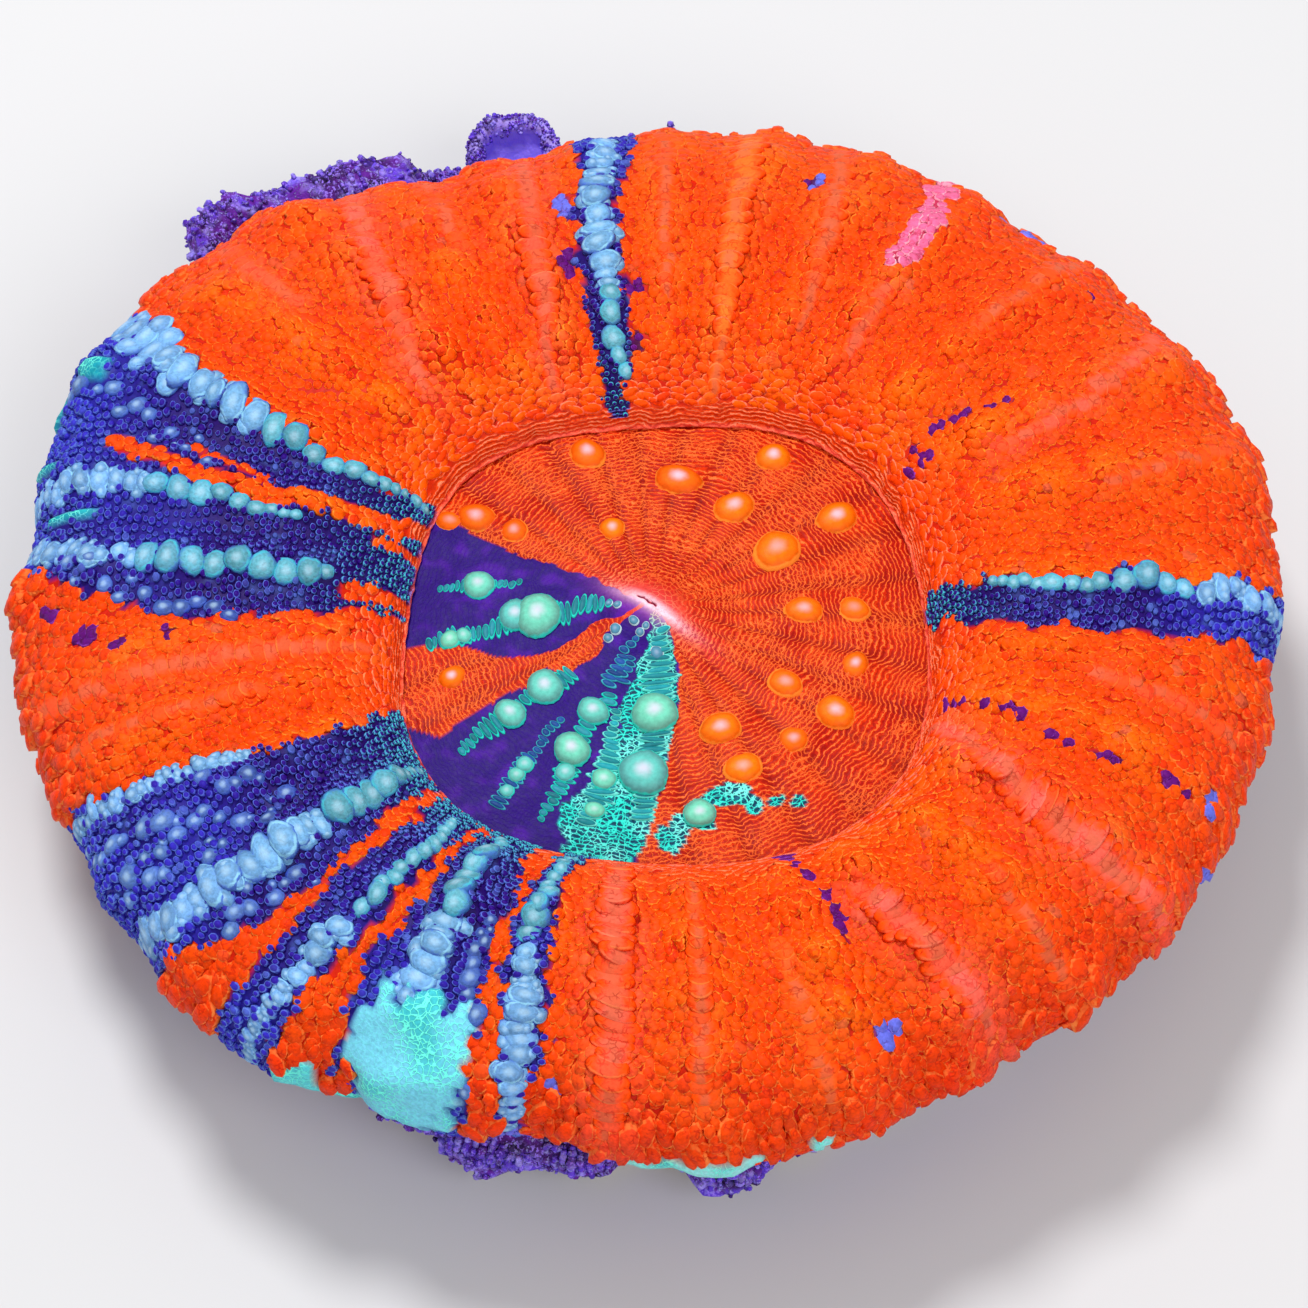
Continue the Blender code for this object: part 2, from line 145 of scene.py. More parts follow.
FIELDS = (
    (((0.03, 96), (0.12, 93.5), (0.34, 94.5), (0.62, 94), (0.9, 91.5)),
     ((0.03, 100.5), (0.6, 100.3), (0.72, 98.3), (0.85, 97.5), (1, 98))),
    (((0, 151), (0.1, 154), (0.35, 155), (0.5, 152.5), (0.7, 150.5), (0.84, 146.5), (1, 143.5)),
     ((0, 181), (0.2, 184.5), (0.4, 185), (0.55, 184), (0.7, 181.5), (0.85, 178.5), (1, 174))),
    (((0, 206), (0.16, 208), (0.35, 208), (0.5, 206), (0.64, 204), (0.84, 203), (1, 200)),
     ((0, 225), (0.26, 226), (0.53, 226), (0.67, 225), (0.79, 224), (0.91, 222.5), (1, 218.5))),
    (((0, 228), (0.26, 229), (0.4, 228), (0.78, 228), (0.9, 227.5), (1, 226)),
     ((0, 237), (0.19, 237), (0.42, 236), (0.6, 235), (0.76, 234), (1, 233))),
    (((0, 239.5), (0.18, 238), (0.36, 239), (0.5, 238), (0.77, 237), (1, 239)),
     ((0, 249), (0.23, 250), (0.61, 250), (0.8, 251), (1, 252))),
    (((0, 254), (0.24, 252), (0.5, 252), (0.65, 253), (0.85, 254), (1, 255.3)),
     ((0, 259), (0.16, 258), (0.28, 256), (0.49, 257), (0.68, 258), (0.85, 259), (1, 257))),
    (((0, -2), (0.08, -5.5), (0.3, -7), (0.49, -7), (0.62, -6), (0.8, -5), (1, -4)),
     ((0, 2), (0.02, 4), (0.18, 2), (0.3, 1), (0.47, 0), (0.53, 2), (0.66, 2), (0.8, 1), (0.87, 3))),
)

FIELD_JAG = 1.2             # mm that the edges of the fields wander
RIB_SPREAD = 3.0            # degrees from a ridge to where the painted shade of the furrow starts

KINDS = {                   # (tint, rim: a painted highlight)
    "violet": (VIOLET, paint(140, 60, 180)), "pink": (MAGENTA_PINK, PALE_PINK),
    "lilac": (paint(104, 112, 226), LILAC),
}
# Thin lines over the mantle: (points of (reach, direction), half width, kind)
LINES = (
    (((0, 157), (0.06, 161), (0.2, 163), (0.4, 165), (0.53, 164), (0.69, 162), (0.82, 161)), 0.85, "orange"),
    (((0.38, 162.6), (0.5, 161), (0.62, 159.6)), 0.4, "orange"),
    (((0, 165), (0.1, 166)), 0.45, "orange"),
    (((0, 178), (0.16, 180)), 0.7, "orange"),
    (((0.04, -22), (0.25, -22), (0.34, -23.4)), 0.24, "violet"),
    (((0.4, -24), (0.5, -24)), 0.24, "violet"),
    (((0.56, -24), (0.66, -23.5)), 0.28, "violet"),
    (((0.78, -23), (0.87, -22.4)), 0.45, "violet"),
    (((0.05, 32), (0.19, 34), (0.3, 33.2), (0.42, 30.6)), 0.26, "violet"),
    (((0.05, 29.6), (0.13, 31)), 0.26, "violet"),
    (((0, -67), (0.09, -66), (0.28, -65), (0.39, -64), (0.53, -65)), 0.3, "violet"),
    (((0.52, 57.2), (0.75, 58), (0.98, 60.6)), 1.15, "pink"),
)

# Small patches: (reach, direction, half length along the ray, half width, kind)
PATCHES = (
    (0.75, 71.2, 1.5, 0.45, "lilac"), (0.75, 72.2, 1.2, 0.25, "violet"), (1.0, 81, 1.3, 2.6, "lilac"),
    (0.97, 49.5, 0.8, 1.4, "lilac"), (0.96, 53.5, 1.0, 0.7, "lilac"), (0.86, 40, 0.7, 0.6, "violet"),
    (0.84, -65, 1.5, 1.1, "lilac"),
    (0.94, -21.5, 0.8, 1.4, "lilac"), (1.02, -25, 1.6, 1.6, "lilac"), (1.1, -62, 1.2, 2.2, "lilac"),
    (0.91, 180, 1.0, 0.7, "violet"), (0.82, 184, 0.9, 0.9, "violet"), (0.73, 186.5, 0.5, 0.4, "violet"),
    (0.6, 186, 0.4, 0.9, "violet"), (0.93, 260, 1.1, 0.5, "lilac"), (0.45, 102.4, 1.3, 0.7, "violet"),
    (0.66, 100.8, 1.4, 0.7, "lilac"), (0.17, 92.6, 1.0, 0.6, "violet"), (0.33, 92.4, 0.7, 0.7, "violet"),
    (1.05, 256, 1.4, 1.2, "lilac"), (0.2, 61, 0.3, 0.3, "violet"), (1.0, -2, 1.2, 1.0, "lilac"),
)

# Smooth neon patches with a fine net: (reach, direction, half length, half width, tint)
DEEP_TEAL = paint(24, 150, 170)
NETS = (
    (0.93, 245.3, 7.5, 4.9, paint(116, 206, 232)), (1.0, 235, 2.8, 1.6, paint(90, 205, 215)),
    (1.02, 274.5, 1.2, 5.4, paint(150, 226, 226)), (1.0, 286.5, 0.9, 1.0, paint(150, 226, 226)),
    (1.06, 238.5, 0.8, 2.0, paint(90, 205, 215)), (0.92, 153, 1.6, 1.2, DEEP_TEAL),
    (1.0, 156, 2.2, 2.0, DEEP_TEAL), (0.9, 169.5, 2.6, 0.5, DEEP_TEAL), (0.98, 163.4, 2.2, 0.5, DEEP_TEAL),
)

# Rows of bubbles on the mantle: (kind, points of (reach, direction, width))
BUBBLE_ROWS = (
    ("grey", ((0.1, 95.5, 1.2), (0.17, 97, 1.8), (0.23, 97, 2.2), (0.3, 97.3, 1.7))),
    ("sky", ((0.34, 97, 2.4), (0.5, 97.2, 2.9), (0.7, 96.4, 2.8), (0.8, 95.3, 2.5), (0.93, 94.6, 1.9))),
    ("grey", ((0.02, 152, 0.9), (0.17, 154.6, 1.5), (0.3, 155.2, 2.3), (0.45, 153.6, 3.0))),
    ("sky", ((0.47, 153.6, 3.4), (0.6, 152.2, 3.0), (0.7, 151, 3.6), (0.87, 148, 4.8), (1.02, 146, 4.4))),
    ("grey", ((0.3, 167, 1.0), (0.45, 166.6, 1.5), (0.56, 166, 2.3), (0.68, 166, 1.7))),
    ("sky", ((0.7, 166, 1.9), (0.83, 165.5, 2.4), (0.97, 166.5, 2.4), (1.1, 167, 2.0))),
    ("grey", ((0.2, 177.3, 1.3), (0.25, 177.4, 2.2), (0.5, 177, 2.3), (0.66, 176, 2.9))),
    ("sky", ((0.7, 175.6, 2.2), (0.8, 174.8, 2.3), (0.95, 172.6, 2.6), (1.12, 171.5, 2.0))),
    ("dim", ((0.44, 183.5, 1.3), (0.55, 182.6, 1.4), (0.7, 180, 1.4), (0.86, 177, 1.3))),
    ("dim", ((0.55, 161.4, 0.9), (0.8, 156.4, 1.5), (0.95, 154.5, 1.5), (1.05, 153.5, 1.3))),
    ("sky", ((0.5, 206.6, 1.4), (0.64, 205, 1.8), (0.72, 204.4, 1.5), (0.84, 203.6, 1.9), (1, 201.5, 1.8))),
    ("dim", ((0.5, 210, 1.6), (0.56, 209.6, 1.5), (0.7, 209.2, 1.3), (0.88, 208, 1.7), (1, 206, 1.3))),
    ("dim", ((0.45, 214.4, 1.1), (0.62, 214.6, 1.2), (0.8, 212.6, 1.4), (0.98, 210.5, 1.6))),
    ("grey", ((0.03, 220, 1.1), (0.12, 221, 1.7), (0.2, 221.6, 2.5), (0.3, 221.4, 2.7), (0.38, 221, 3.6))),
    ("sky", ((0.42, 221, 2.2), (0.5, 220.6, 2.6), (0.6, 220, 4.6), (0.7, 219.6, 2.6), (0.78, 219, 4.0),
             (0.86, 218, 2.4), (0.94, 216.6, 3.6), (1.06, 214.6, 2.2))),
    ("dim", ((0.55, 224, 1.1), (0.72, 222.6, 1.3), (0.85, 221.4, 1.3))),
    ("grey", ((0.1, 234, 1.1), (0.2, 234.6, 1.4), (0.28, 234.6, 1.8), (0.36, 233.8, 1.3), (0.42, 233.6, 1.5),
              (0.52, 233.2, 1.6), (0.58, 233, 1.2))),
    ("sky", ((0.64, 232.6, 2.6), (0.74, 232.2, 2.2), (0.84, 231.8, 2.0), (0.93, 231, 1.7), (1.05, 230, 1.4))),
    ("grey", ((0.08, 243, 1.4), (0.2, 242.8, 1.9), (0.28, 242.4, 2.4), (0.38, 242.8, 2.9),
              (0.45, 243.4, 2.4))),
    ("sky", ((0.5, 243.6, 2.8), (0.6, 243.8, 3.0), (0.68, 243.6, 3.4), (0.76, 243, 3.0))),
    ("sky", ((0.78, 242, 2.6), (0.92, 241.6, 1.8))),
    ("dim", ((0.84, 248.6, 1.6), (0.98, 249.6, 1.4))),
    ("dim", ((0.42, 248.6, 0.9), (0.58, 248.8, 1.3), (0.68, 249.2, 1.8), (0.76, 249.4, 1.4))),
    ("grey", ((0.08, 256, 0.9), (0.2, 254.8, 1.6), (0.26, 254.4, 1.3), (0.36, 254.2, 2.3),
              (0.5, 254.2, 2.2))),
    ("sky", ((0.54, 254.6, 1.8), (0.66, 255.2, 2.4), (0.78, 255.8, 2.9), (0.9, 256, 2.4), (1, 256.2, 1.5))),
    ("grey", ((0.18, 1.2, 1.1), (0.3, 0.2, 1.2), (0.38, 0, 1.8), (0.44, -0.4, 1.3), (0.5, 0, 1.8))),
    ("grey", ((0.55, 0.8, 2.2), (0.64, 1.2, 2.6), (0.72, 0.6, 2.0))),
    ("sky", ((0.78, 0.4, 2.2), (0.86, 1.2, 2.0), (0.93, 1.4, 2.2), (1.02, 0.6, 1.6))),
)
BUBBLE_KINDS = {            # (tint, rim painted as highlight, least length for a width of 1, unevenness, stray in degrees)
    "grey": (TEAL_GREY, HIGHLIGHT_TEAL, 0.72, 0.18, 0.1), "sky": (paint(112, 168, 212), HIGHLIGHT_SKY, 0.42, 0.18, 0.1),
    "dim": (paint(60, 84, 160), paint(82, 112, 196), 0.7, 0.4, 1.1),
}

# Rows of broad low bars across the ridges: (points of (reach, direction, width), tint, strength)
RIDGE_ROWS = (
    (((0.1, 111, 1.6), (0.3, 108, 2.6), (0.6, 105.5, 3.4), (0.95, 103.5, 2.8)), CORAL_PINK, 0.6),
    (((0.2, 133, 1.8), (0.4, 128.5, 3.0), (0.7, 124, 3.6), (0.98, 121, 2.6)), CORAL_PINK, 0.75),
    (((0.62, 136, 2.6), (1.0, 135, 3.0)), CORAL_PINK, 0.4),
    (((0.6, 115, 2.4), (1.0, 114, 2.8)), CORAL_PINK, 0.3),
    (((0.06, 76, 1.4), (0.3, 77.5, 2.4), (0.6, 79, 3.4), (0.95, 80, 3.4)), PALE_ORANGE, 0.8),
    (((0.3, 87.5, 1.6), (0.9, 88.5, 2.2)), BROWN_GREY, 0.35),
    (((0.25, 64, 1.6), (0.6, 67.5, 2.6), (0.95, 71, 3.0)), BROWN_GREY, 0.4),
    (((0.22, 54.5, 1.8), (0.46, 56, 2.4)), CORAL_PINK, 0.4),
    (((0.5, 43, 2.0), (0.95, 44, 2.6)), BROWN_GREY, 0.35),
    (((0.3, 25, 1.8), (0.6, 27, 2.4), (0.9, 32, 2.8)), CORAL_PINK, 0.6),
    (((0.55, 15, 2.0), (0.9, 17.5, 2.4)), BROWN_GREY, 0.3),
    (((0.5, -13, 2.2), (0.95, -14, 2.6)), CORAL_PINK, 0.25),
    (((0.04, -27, 1.8), (0.3, -32.5, 3.4), (0.5, -34.5, 4.2), (0.8, -35, 3.6), (1.0, -34, 2.6)),
     CORAL_PINK, 0.9),
    (((0.55, -45, 2.0), (0.95, -46, 2.6)), BROWN_GREY, 0.2),
    (((0.35, -60.5, 2.4), (0.55, -58, 4.0), (0.8, -55.5, 4.2), (1.0, -54.5, 2.6)), CORAL_PINK, 0.9),
    (((0.1, -95.5, 2.2), (0.35, -95, 3.6), (0.7, -94, 3.6), (1.02, -94, 3.0)), CORAL_PINK, 0.75),
    (((0.2, -83, 1.6), (0.9, -85, 2.4)), BROWN_GREY, 0.3),
    (((0.45, -73, 2.0), (0.95, -72.5, 2.6)), PALE_ORANGE, 0.3),
    (((0.1, 192, 2.0), (0.35, 191.5, 3.2), (0.6, 191, 3.2), (0.95, 190, 2.8)), CORAL_PINK, 0.25),
    (((0.4, 198, 2.0), (0.95, 195.5, 2.4)), BROWN_GREY, 0.2),
)

# ---------------------------------------------------------------- shape rules of the polyp


def turn_between(direction, other):
    """The signed angle in degrees from other to direction."""
    return (direction - other + 180) % 360 - 180


def smooth(value):
    """A smooth step from 0 to 1."""
    value = np.clip(value, 0, 1)
    return value * value * (3 - 2 * value)


def bell(offset, spread=1.0):
    """A soft hump: 1 where offset is 0, and nearly 0 at twice the spread."""
    return np.exp(-((offset / spread) ** 2))


def lobes(direction, table):
    """The sum of soft humps, each given as (direction, height, spread in degrees)."""
    return sum(push * bell(turn_between(direction, place), spread) for place, push, spread in table)


def ring(columns):
    """Even directions all the way round."""
    return np.arange(columns) * 360 / columns


def read_off(table, place, column=1):
    """A column of a table at some place on its first column, between its rows too."""
    return np.interp(place, [row[0] for row in table], [row[column] for row in table])


def fold_radius(direction):
    angle = np.radians(direction)
    return 21.7 + 1.3 * np.cos(angle) - 1.9 * np.sin(angle) - 0.9 * np.cos(4 * angle)


def margin_radius(direction):
    angle = np.radians(direction)
    return 48.6 + 2.6 * np.sin(angle) + 0.3 * np.cos(2 * angle) + lobes(direction, MARGIN_LOBES)


def across_mantle(radius):
    """How far over the mantle a radius of the turned shape is: 0 at the fold, 1 at the margin."""
    return (radius - FOLD_RADIUS) / (MARGIN_RADIUS - FOLD_RADIUS)


def pulled_radius(radius, direction):
    """Moves a radius of the turned shape out or in, to the polyp's real outline."""
    fold, across = fold_radius(direction), across_mantle(radius)
    pulled = fold + across * (margin_radius(direction) - fold)
    return np.where(across <= 0, radius * fold / FOLD_RADIUS, pulled)


def section(turns):
    """(radius, height) of the plain section: 0 at the fold, 1 crest, 2 margin, 3 hem, 4 seat."""
    lip, outer, hem = (np.clip(turns - start, 0, 1) * pi / 2 for start in (0, 1, 2))
    under = np.clip(turns - 3, 0, 1)
    radius = np.where(turns < 1, CREST_RADIUS - (CREST_RADIUS - FOLD_RADIUS) * np.cos(lip),
                      CREST_RADIUS + (MARGIN_RADIUS - CREST_RADIUS) * np.sin(outer) ** SHOULDER)
    height = np.where(turns < 1, FOLD_Z + (CREST_Z - FOLD_Z) * np.sin(lip),
                      MARGIN_Z + (CREST_Z - MARGIN_Z) * np.clip(np.cos(outer), 0, 1) ** SHOULDER)
    radius = radius - HEM_CURL * (1 - np.cos(hem)) - under * (MARGIN_RADIUS - HEM_CURL - SEAT_RADIUS)
    height = height - (MARGIN_Z - HEM_Z) * np.sin(hem) + under * (SEAT_Z - HEM_Z)
    return radius, height


def ridge_relief(direction, across):
    relief = 0.0
    for number, (place, top) in enumerate(RIDGES):
        wave = 1 + RIDGE_WAVE * np.cos(tau * RIDGE_WAVES * across + 2.1 * number)
        relief = relief + top * bell(turn_between(direction, place), RIDGE_SPREAD) * wave
    return relief * smooth(across / 0.25)


def margin_lift(direction, across):
    lift = sum(top * (1 + np.sin(np.radians(direction * waves + start))) / 2
               for waves, top, start in MARGIN_LIFTS)
    return lift * smooth((across - 0.6) / 0.4)


def at(direction, radius, height):
    """Points from directions, radii and heights, as an array that ends in x, y, z."""
    angle = np.radians(direction)
    radius, height = np.broadcast_arrays(radius, height)
    return np.stack(np.broadcast_arrays(radius * np.cos(angle), radius * np.sin(angle), height), -1)


# Length along the plain section, to lay rows at even distances
SECTION_TURNS = np.linspace(0, 3, 601)
SECTION_RADII, SECTION_HEIGHTS = section(SECTION_TURNS)
SECTION_TRAVEL = np.concatenate([[0], np.cumsum(np.hypot(np.diff(SECTION_RADII), np.diff(SECTION_HEIGHTS)))])
MARGIN_TRAVEL = np.interp(2, SECTION_TURNS, SECTION_TRAVEL)
HEM_TRAVEL = SECTION_TRAVEL[-1]


def turns_of_travel(travel):
    return np.interp(travel, SECTION_TRAVEL, SECTION_TURNS)


def reach_of_travel(travel):
    """0 at the fold and 1 at the margin by radius, and past 1 by distance below the margin."""
    upper = SECTION_TURNS <= 2
    below = np.clip(travel - MARGIN_TRAVEL, 0, None) / REACH_BELOW
    return np.interp(travel, SECTION_TRAVEL[upper], across_mantle(SECTION_RADII[upper])) + below


def travel_of_reach(reach):
    travels = np.linspace(0, HEM_TRAVEL, 500)
    return np.interp(reach, reach_of_travel(travels), travels)


def along(points, reach):
    """The direction of a line of (reach, direction) at some reach, and how far that is outside the line."""
    return read_off(points, reach), np.maximum(points[0][0] - reach, reach - points[-1][0])


def aside(direction, middle, radius):
    """How far a spot is from a direction, sideways, in mm."""
    return np.radians(turn_between(direction, middle)) * radius


def mantle(direction, turns):
    """Points of the mantle with its ridges and waves, but without papillae."""
    radius, height = section(turns)
    across = across_mantle(radius)
    above = smooth((height - MARGIN_Z + 2.9) / 2.4)
    relief = ridge_relief(direction, across) * above
    steep = smooth((across - 0.55) / 0.45) * above
    lift = margin_lift(direction, across) * (1 - np.clip(turns - 3, 0, 1))
    return at(direction, pulled_radius(radius, direction) + relief * 0.7 * steep,
              height + lift + relief * (1 - 0.6 * steep))


def mantle_radius(direction, travel):
    return pulled_radius(section(turns_of_travel(travel))[0], direction)


def disc_plain(direction, distance):
    """Points of the oral disc without wrinkles. Distance is in mm from the mouth."""
    share = distance / fold_radius(direction)
    rise = DISC_RISE * (1 - share ** 2) + MOUTH_RISE * bell(share * FOLD_RADIUS, MOUTH_WIDTH)
    return at(direction, distance, FOLD_Z + rise)


def unit(vectors):
    return vectors / np.linalg.norm(vectors, axis=-1, keepdims=True)


def frames_on(surface, direction, second, step):
    """Place, sideways, outward and normal vectors of a surface at each spot."""
    sideways = unit(surface(direction + 0.4, second) - surface(direction - 0.4, second))
    outward = surface(direction, second + step) - surface(direction, second - step)
    normal = unit(np.cross(outward, sideways))
    return surface(direction, second), sideways, np.cross(sideways, normal), normal


def rough(points, size):
    """Smooth noise from about -1 to 1 at points in mm, with its bumps size mm apart."""
    flat = np.asarray(points, float).reshape(-1, 3) / size
    return np.array([noise.noise(p) for p in flat.tolist()]).reshape(np.shape(points)[:-1])


# ---------------------------------------------------------------- meshes


def new_piece(name, points, faces, finish, attributes, owner=FLESH, bake_map=None):
    """Makes a smooth mesh piece from points in mm, which rides on the body and stands for a node."""
    node, slot = owner
    mesh = bpy.data.meshes.new(name)
    mesh.from_pydata(np.asarray(points) * MM, [], faces)
    for title, values in attributes.items():
        values = np.asarray(values, float)
        if values.ndim == 1:
            kind, key = "FLOAT", "value"
        elif title == "bead":
            kind, key = "FLOAT_VECTOR", "vector"
        else:
            kind, key = "FLOAT_COLOR", "color"
            values = np.concatenate([values, np.ones((len(values), 1))], 1)
        mesh.attributes.new(title, kind, "POINT").data.foreach_set(key, values.ravel())
    if bake_map is not None:
        mesh.uv_layers.new(name="OFBake").uv.foreach_set("vector", bake_map.ravel())
    mesh.materials.append(finish)
    mesh.shade_smooth()
    mesh.update()
    piece = bpy.data.objects.new(name, mesh)
    bpy.context.scene.collection.objects.link(piece)
    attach(piece, "root")
    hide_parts(node)


def grid_faces(rows, columns, closed_rows=False):
    """Faces between rows of points that run round in a ring, rows times columns points in all."""
    row, column = np.meshgrid(np.arange(rows if closed_rows else rows - 1), np.arange(columns), indexing="ij")
    next_row, next_column = (row + 1) % rows, (column + 1) % columns
    corners = (row * columns + column, next_row * columns + column,
               next_row * columns + next_column, row * columns + next_column)
    return np.stack([corner.ravel() for corner in corners], 1)


def capped_faces(rows, columns):
    """Faces of a closed shape of rows that run round, with a middle point for each end after them."""
    last, ends = (rows - 1) * columns, rows * columns
    faces = grid_faces(rows, columns).tolist()
    for n in range(columns):
        after = (n + 1) % columns
        faces += [(ends, n, after), (ends + 1, last + after, last + n)]
    return faces


def dome(segments, rings, sink, flatness=1.0):
    """A closed unit dome: its points, top triangles and bottom triangles. flatness over 1 makes
    its top flat and its sides steep."""
    points = [(0, 0, 1)]
    for level in range(1, rings + 1):
        slope = pi / 2 * level / rings
        height = cos(slope) ** (1 / flatness) if level < rings else -sink
        for number in range(segments):
            angle = tau * (number + 0.5 * (level % 2)) / segments
            points.append((sin(slope) * cos(angle), sin(slope) * sin(angle), height))
    top = [(0, 1 + n, 1 + (n + 1) % segments) for n in range(segments)]
    for level in range(rings - 1):
        start = 1 + level * segments
        for n in range(segments):
            a, b = start + n, start + (n + 1) % segments
            c, d = a + segments, b + segments
            top += [(a, c, d), (a, d, b)] if level % 2 else [(a, c, b), (b, c, d)]
    last = 1 + (rings - 1) * segments
    bottom = [(last, last + n + 1, last + n) for n in range(1, segments - 1)]
    return np.array(points), np.array(top), np.array(bottom)


def stamp(template, frames, sizes, lean, uneven=0.0, turn=0.0, seed=1):
    """Copies a dome to each frame. lean raises the side that faces outward, uneven makes the outlines
    irregular, and turn is how far in degrees the domes are turned at random."""
    points, top, bottom = template
    place, sideways, outward, normal = (part[:, None, :] for part in frames)
    widths, lengths, heights = (size[:, None, None] for size in sizes)
    draw = np.random.default_rng(seed)
    count = len(place)
    angle = np.radians(draw.uniform(-turn, turn, count))[:, None, None]
    sideways, outward = (sideways * np.cos(angle) + outward * np.sin(angle),
                         outward * np.cos(angle) - sideways * np.sin(angle))
    round_angle = np.arctan2(points[:, 1], points[:, 0])[None]
    ripple = sum(share * np.sin(waves * round_angle + draw.uniform(0, tau, (count, 1)))
                 for waves, share in ((2, 0.9), (3, 0.8), (5, 0.6)))
    swell = (1 + uneven * ripple)[..., None]
    x, y, z = (points[None, :, i, None] for i in range(3))
    rise = np.where(z > 0, z * (1 + lean * y), z)
    made = place + (sideways * x * widths + outward * y * lengths) * swell + normal * rise * heights
    triangles = np.concatenate([top, bottom])[None] + np.arange(count)[:, None, None] * len(points)
    return made.reshape(-1, 3), triangles.reshape(-1, 3), np.tile(points, (count, 1))


def dome_attributes(local, marks, tint, edge):
    """What the finishes read from stamped domes: places on the dome, its own mark, tint and the colour of its
    rim, a painted highlight.
    """
    each = len(local) // len(marks)
    local[:, 2] = np.repeat(marks, each)
    return {"bead": local, "tint": np.repeat(tint, each, 0), "edge": np.repeat(edge, each, 0)}


# ---------------------------------------------------------------- materials


class Shader:
    """A node material made in few words."""

    def __init__(self, name, roughness, specular):
        self.material = bpy.data.materials.new(name)
        self.material.use_nodes = True
        self.tree = self.material.node_tree
        self.surface = self.tree.nodes["Principled BSDF"]
        self.surface.inputs["Roughness"].default_value = roughness
        self.surface.inputs["Specular IOR Level"].default_value = specular

    def set(self, socket, value):
        if isinstance(value, bpy.types.NodeSocket):
            self.tree.links.new(value, socket)
        elif hasattr(socket.default_value, "__len__"):
            value = tuple(value)
            socket.default_value = value if len(value) == len(socket.default_value) else (*value, 1)
        else:
            socket.default_value = value

    def add(self, kind, output=0, settings=None, **inputs):
        """Adds a node; inputs are given by name, or as i0, i1 and so on."""
        node = self.tree.nodes.new("ShaderNode" + kind)
        for title, value in (settings or {}).items():
            setattr(node, title, value)
        for title, value in inputs.items():
            key = int(title[1:]) if title[0] == "i" and title[1:].isdigit() else title
            self.set(node.inputs[key], value)
        return node.outputs[output]

    def attribute(self, name):
        """What new_piece stored on the mesh: a colour, a place on a dome or a number."""
        output = {"tint": 0, "edge": 0, "bead": 1}.get(name, 2)
        return self.add("Attribute", output, {"attribute_name": name})

    def math(self, operation, first, second=0.0, third=0.0):
        return self.add("Math", 0, {"operation": operation}, i0=first, i1=second, i2=third)

    def times(self, product, *factors):
        for factor in factors:
            product = self.math("MULTIPLY", product, factor)
        return product

    def scaled(self, value, factor, offset):
        return self.math("MULTIPLY_ADD", value, factor, offset)

    def stray(self, noise_value, span):
        """Noise spread evenly about 0."""
        return self.scaled(noise_value, span, -span / 2)

    def ramp(self, value, low, high):
        """0 below low and 1 above high, smoothly; it falls instead where low is above high."""
        start, end = (0, 1) if low < high else (1, 0)
        return self.add("MapRange", 0, {"interpolation_type": "SMOOTHSTEP"}, i0=value, i1=min(low, high),
                        i2=max(low, high), i3=start, i4=end)

    def band(self, value, rise, full, fade, end):
        """1 from full to fade, 0 below rise and above end."""
        return self.times(self.ramp(value, rise, full), self.ramp(value, end, fade))

    def patches(self, size_mm, detail, low, high):
        """Patches of noise, 0 to 1, with soft edges."""
        return self.ramp(self.noise(size_mm, detail), low, high)

    def mix(self, share, first, second, kind="MIX"):
        return self.add("Mix", 2, {"data_type": "RGBA", "blend_type": kind}, i0=share, i6=first, i7=second)

    def shade(self, colour, tone):
        return self.mix(1.0, colour, tone, "MULTIPLY")

    def place(self):
        """Where a spot is on the model, in metres."""
        return self.add("TexCoord", 3)

    def noise(self, size_mm, detail=2.0, output=0):
        return self.add("TexNoise", output, Vector=self.place(), Scale=1 / (size_mm * MM), Detail=detail)

    def bump(self, height, distance_mm, strength):
        normal = self.add("Bump", Strength=strength, Distance=distance_mm * MM, Height=height)
        self.set(self.surface.inputs["Normal"], normal)

    def finish(self, colour, uneven=None):
        """uneven is (size in mm, span, least value) of a roughness that varies over the surface."""
        self.set(self.surface.inputs["Base Color"], colour)
        if uneven:
            size_mm, span, least = uneven
            self.set(self.surface.inputs["Roughness"], self.scaled(self.noise(size_mm), span, least))
        return self.material


def mottled(shader, colour, size_mm, depth):
    """The colour made a little lighter and darker by fine noise."""
    grain = shader.noise(size_mm, 3.0)
    light = shader.add("MapRange", i0=grain, i1=0.3, i2=0.7, i3=1 - depth, i4=1 + depth * 0.6)
    return shader.shade(colour, shader.add("CombineColor", i0=light, i1=light, i2=light))


def net_lines(shader, size_mm, outer, inner):
    """The edges of warped cells of the given size, as 0 to 1."""
    warped = shader.add("VectorMath", 0, {"operation": "MULTIPLY_ADD"}, i0=shader.noise(0.8, 2.0, 1),
                        i1=(0.6 * MM,) * 3, i2=shader.place())
    cells = shader.add("TexVoronoi", 0, {"feature": "DISTANCE_TO_EDGE"}, Vector=warped,
                       Scale=1 / (size_mm * MM))
    return shader.ramp(cells, outer, inner)


def bead_place(shader):
    """A spot's place on its dome: distance from the middle, 0 to 1, then sideways and outward, -1 to 1,
    and a number that belongs to the dome."""
    parts = shader.add("SeparateXYZ", i0=shader.attribute("bead")).node.outputs
    flat = shader.add("CombineXYZ", i0=parts[0], i1=parts[1])
    return shader.add("VectorMath", 1, {"operation": "LENGTH"}, i0=flat), *parts


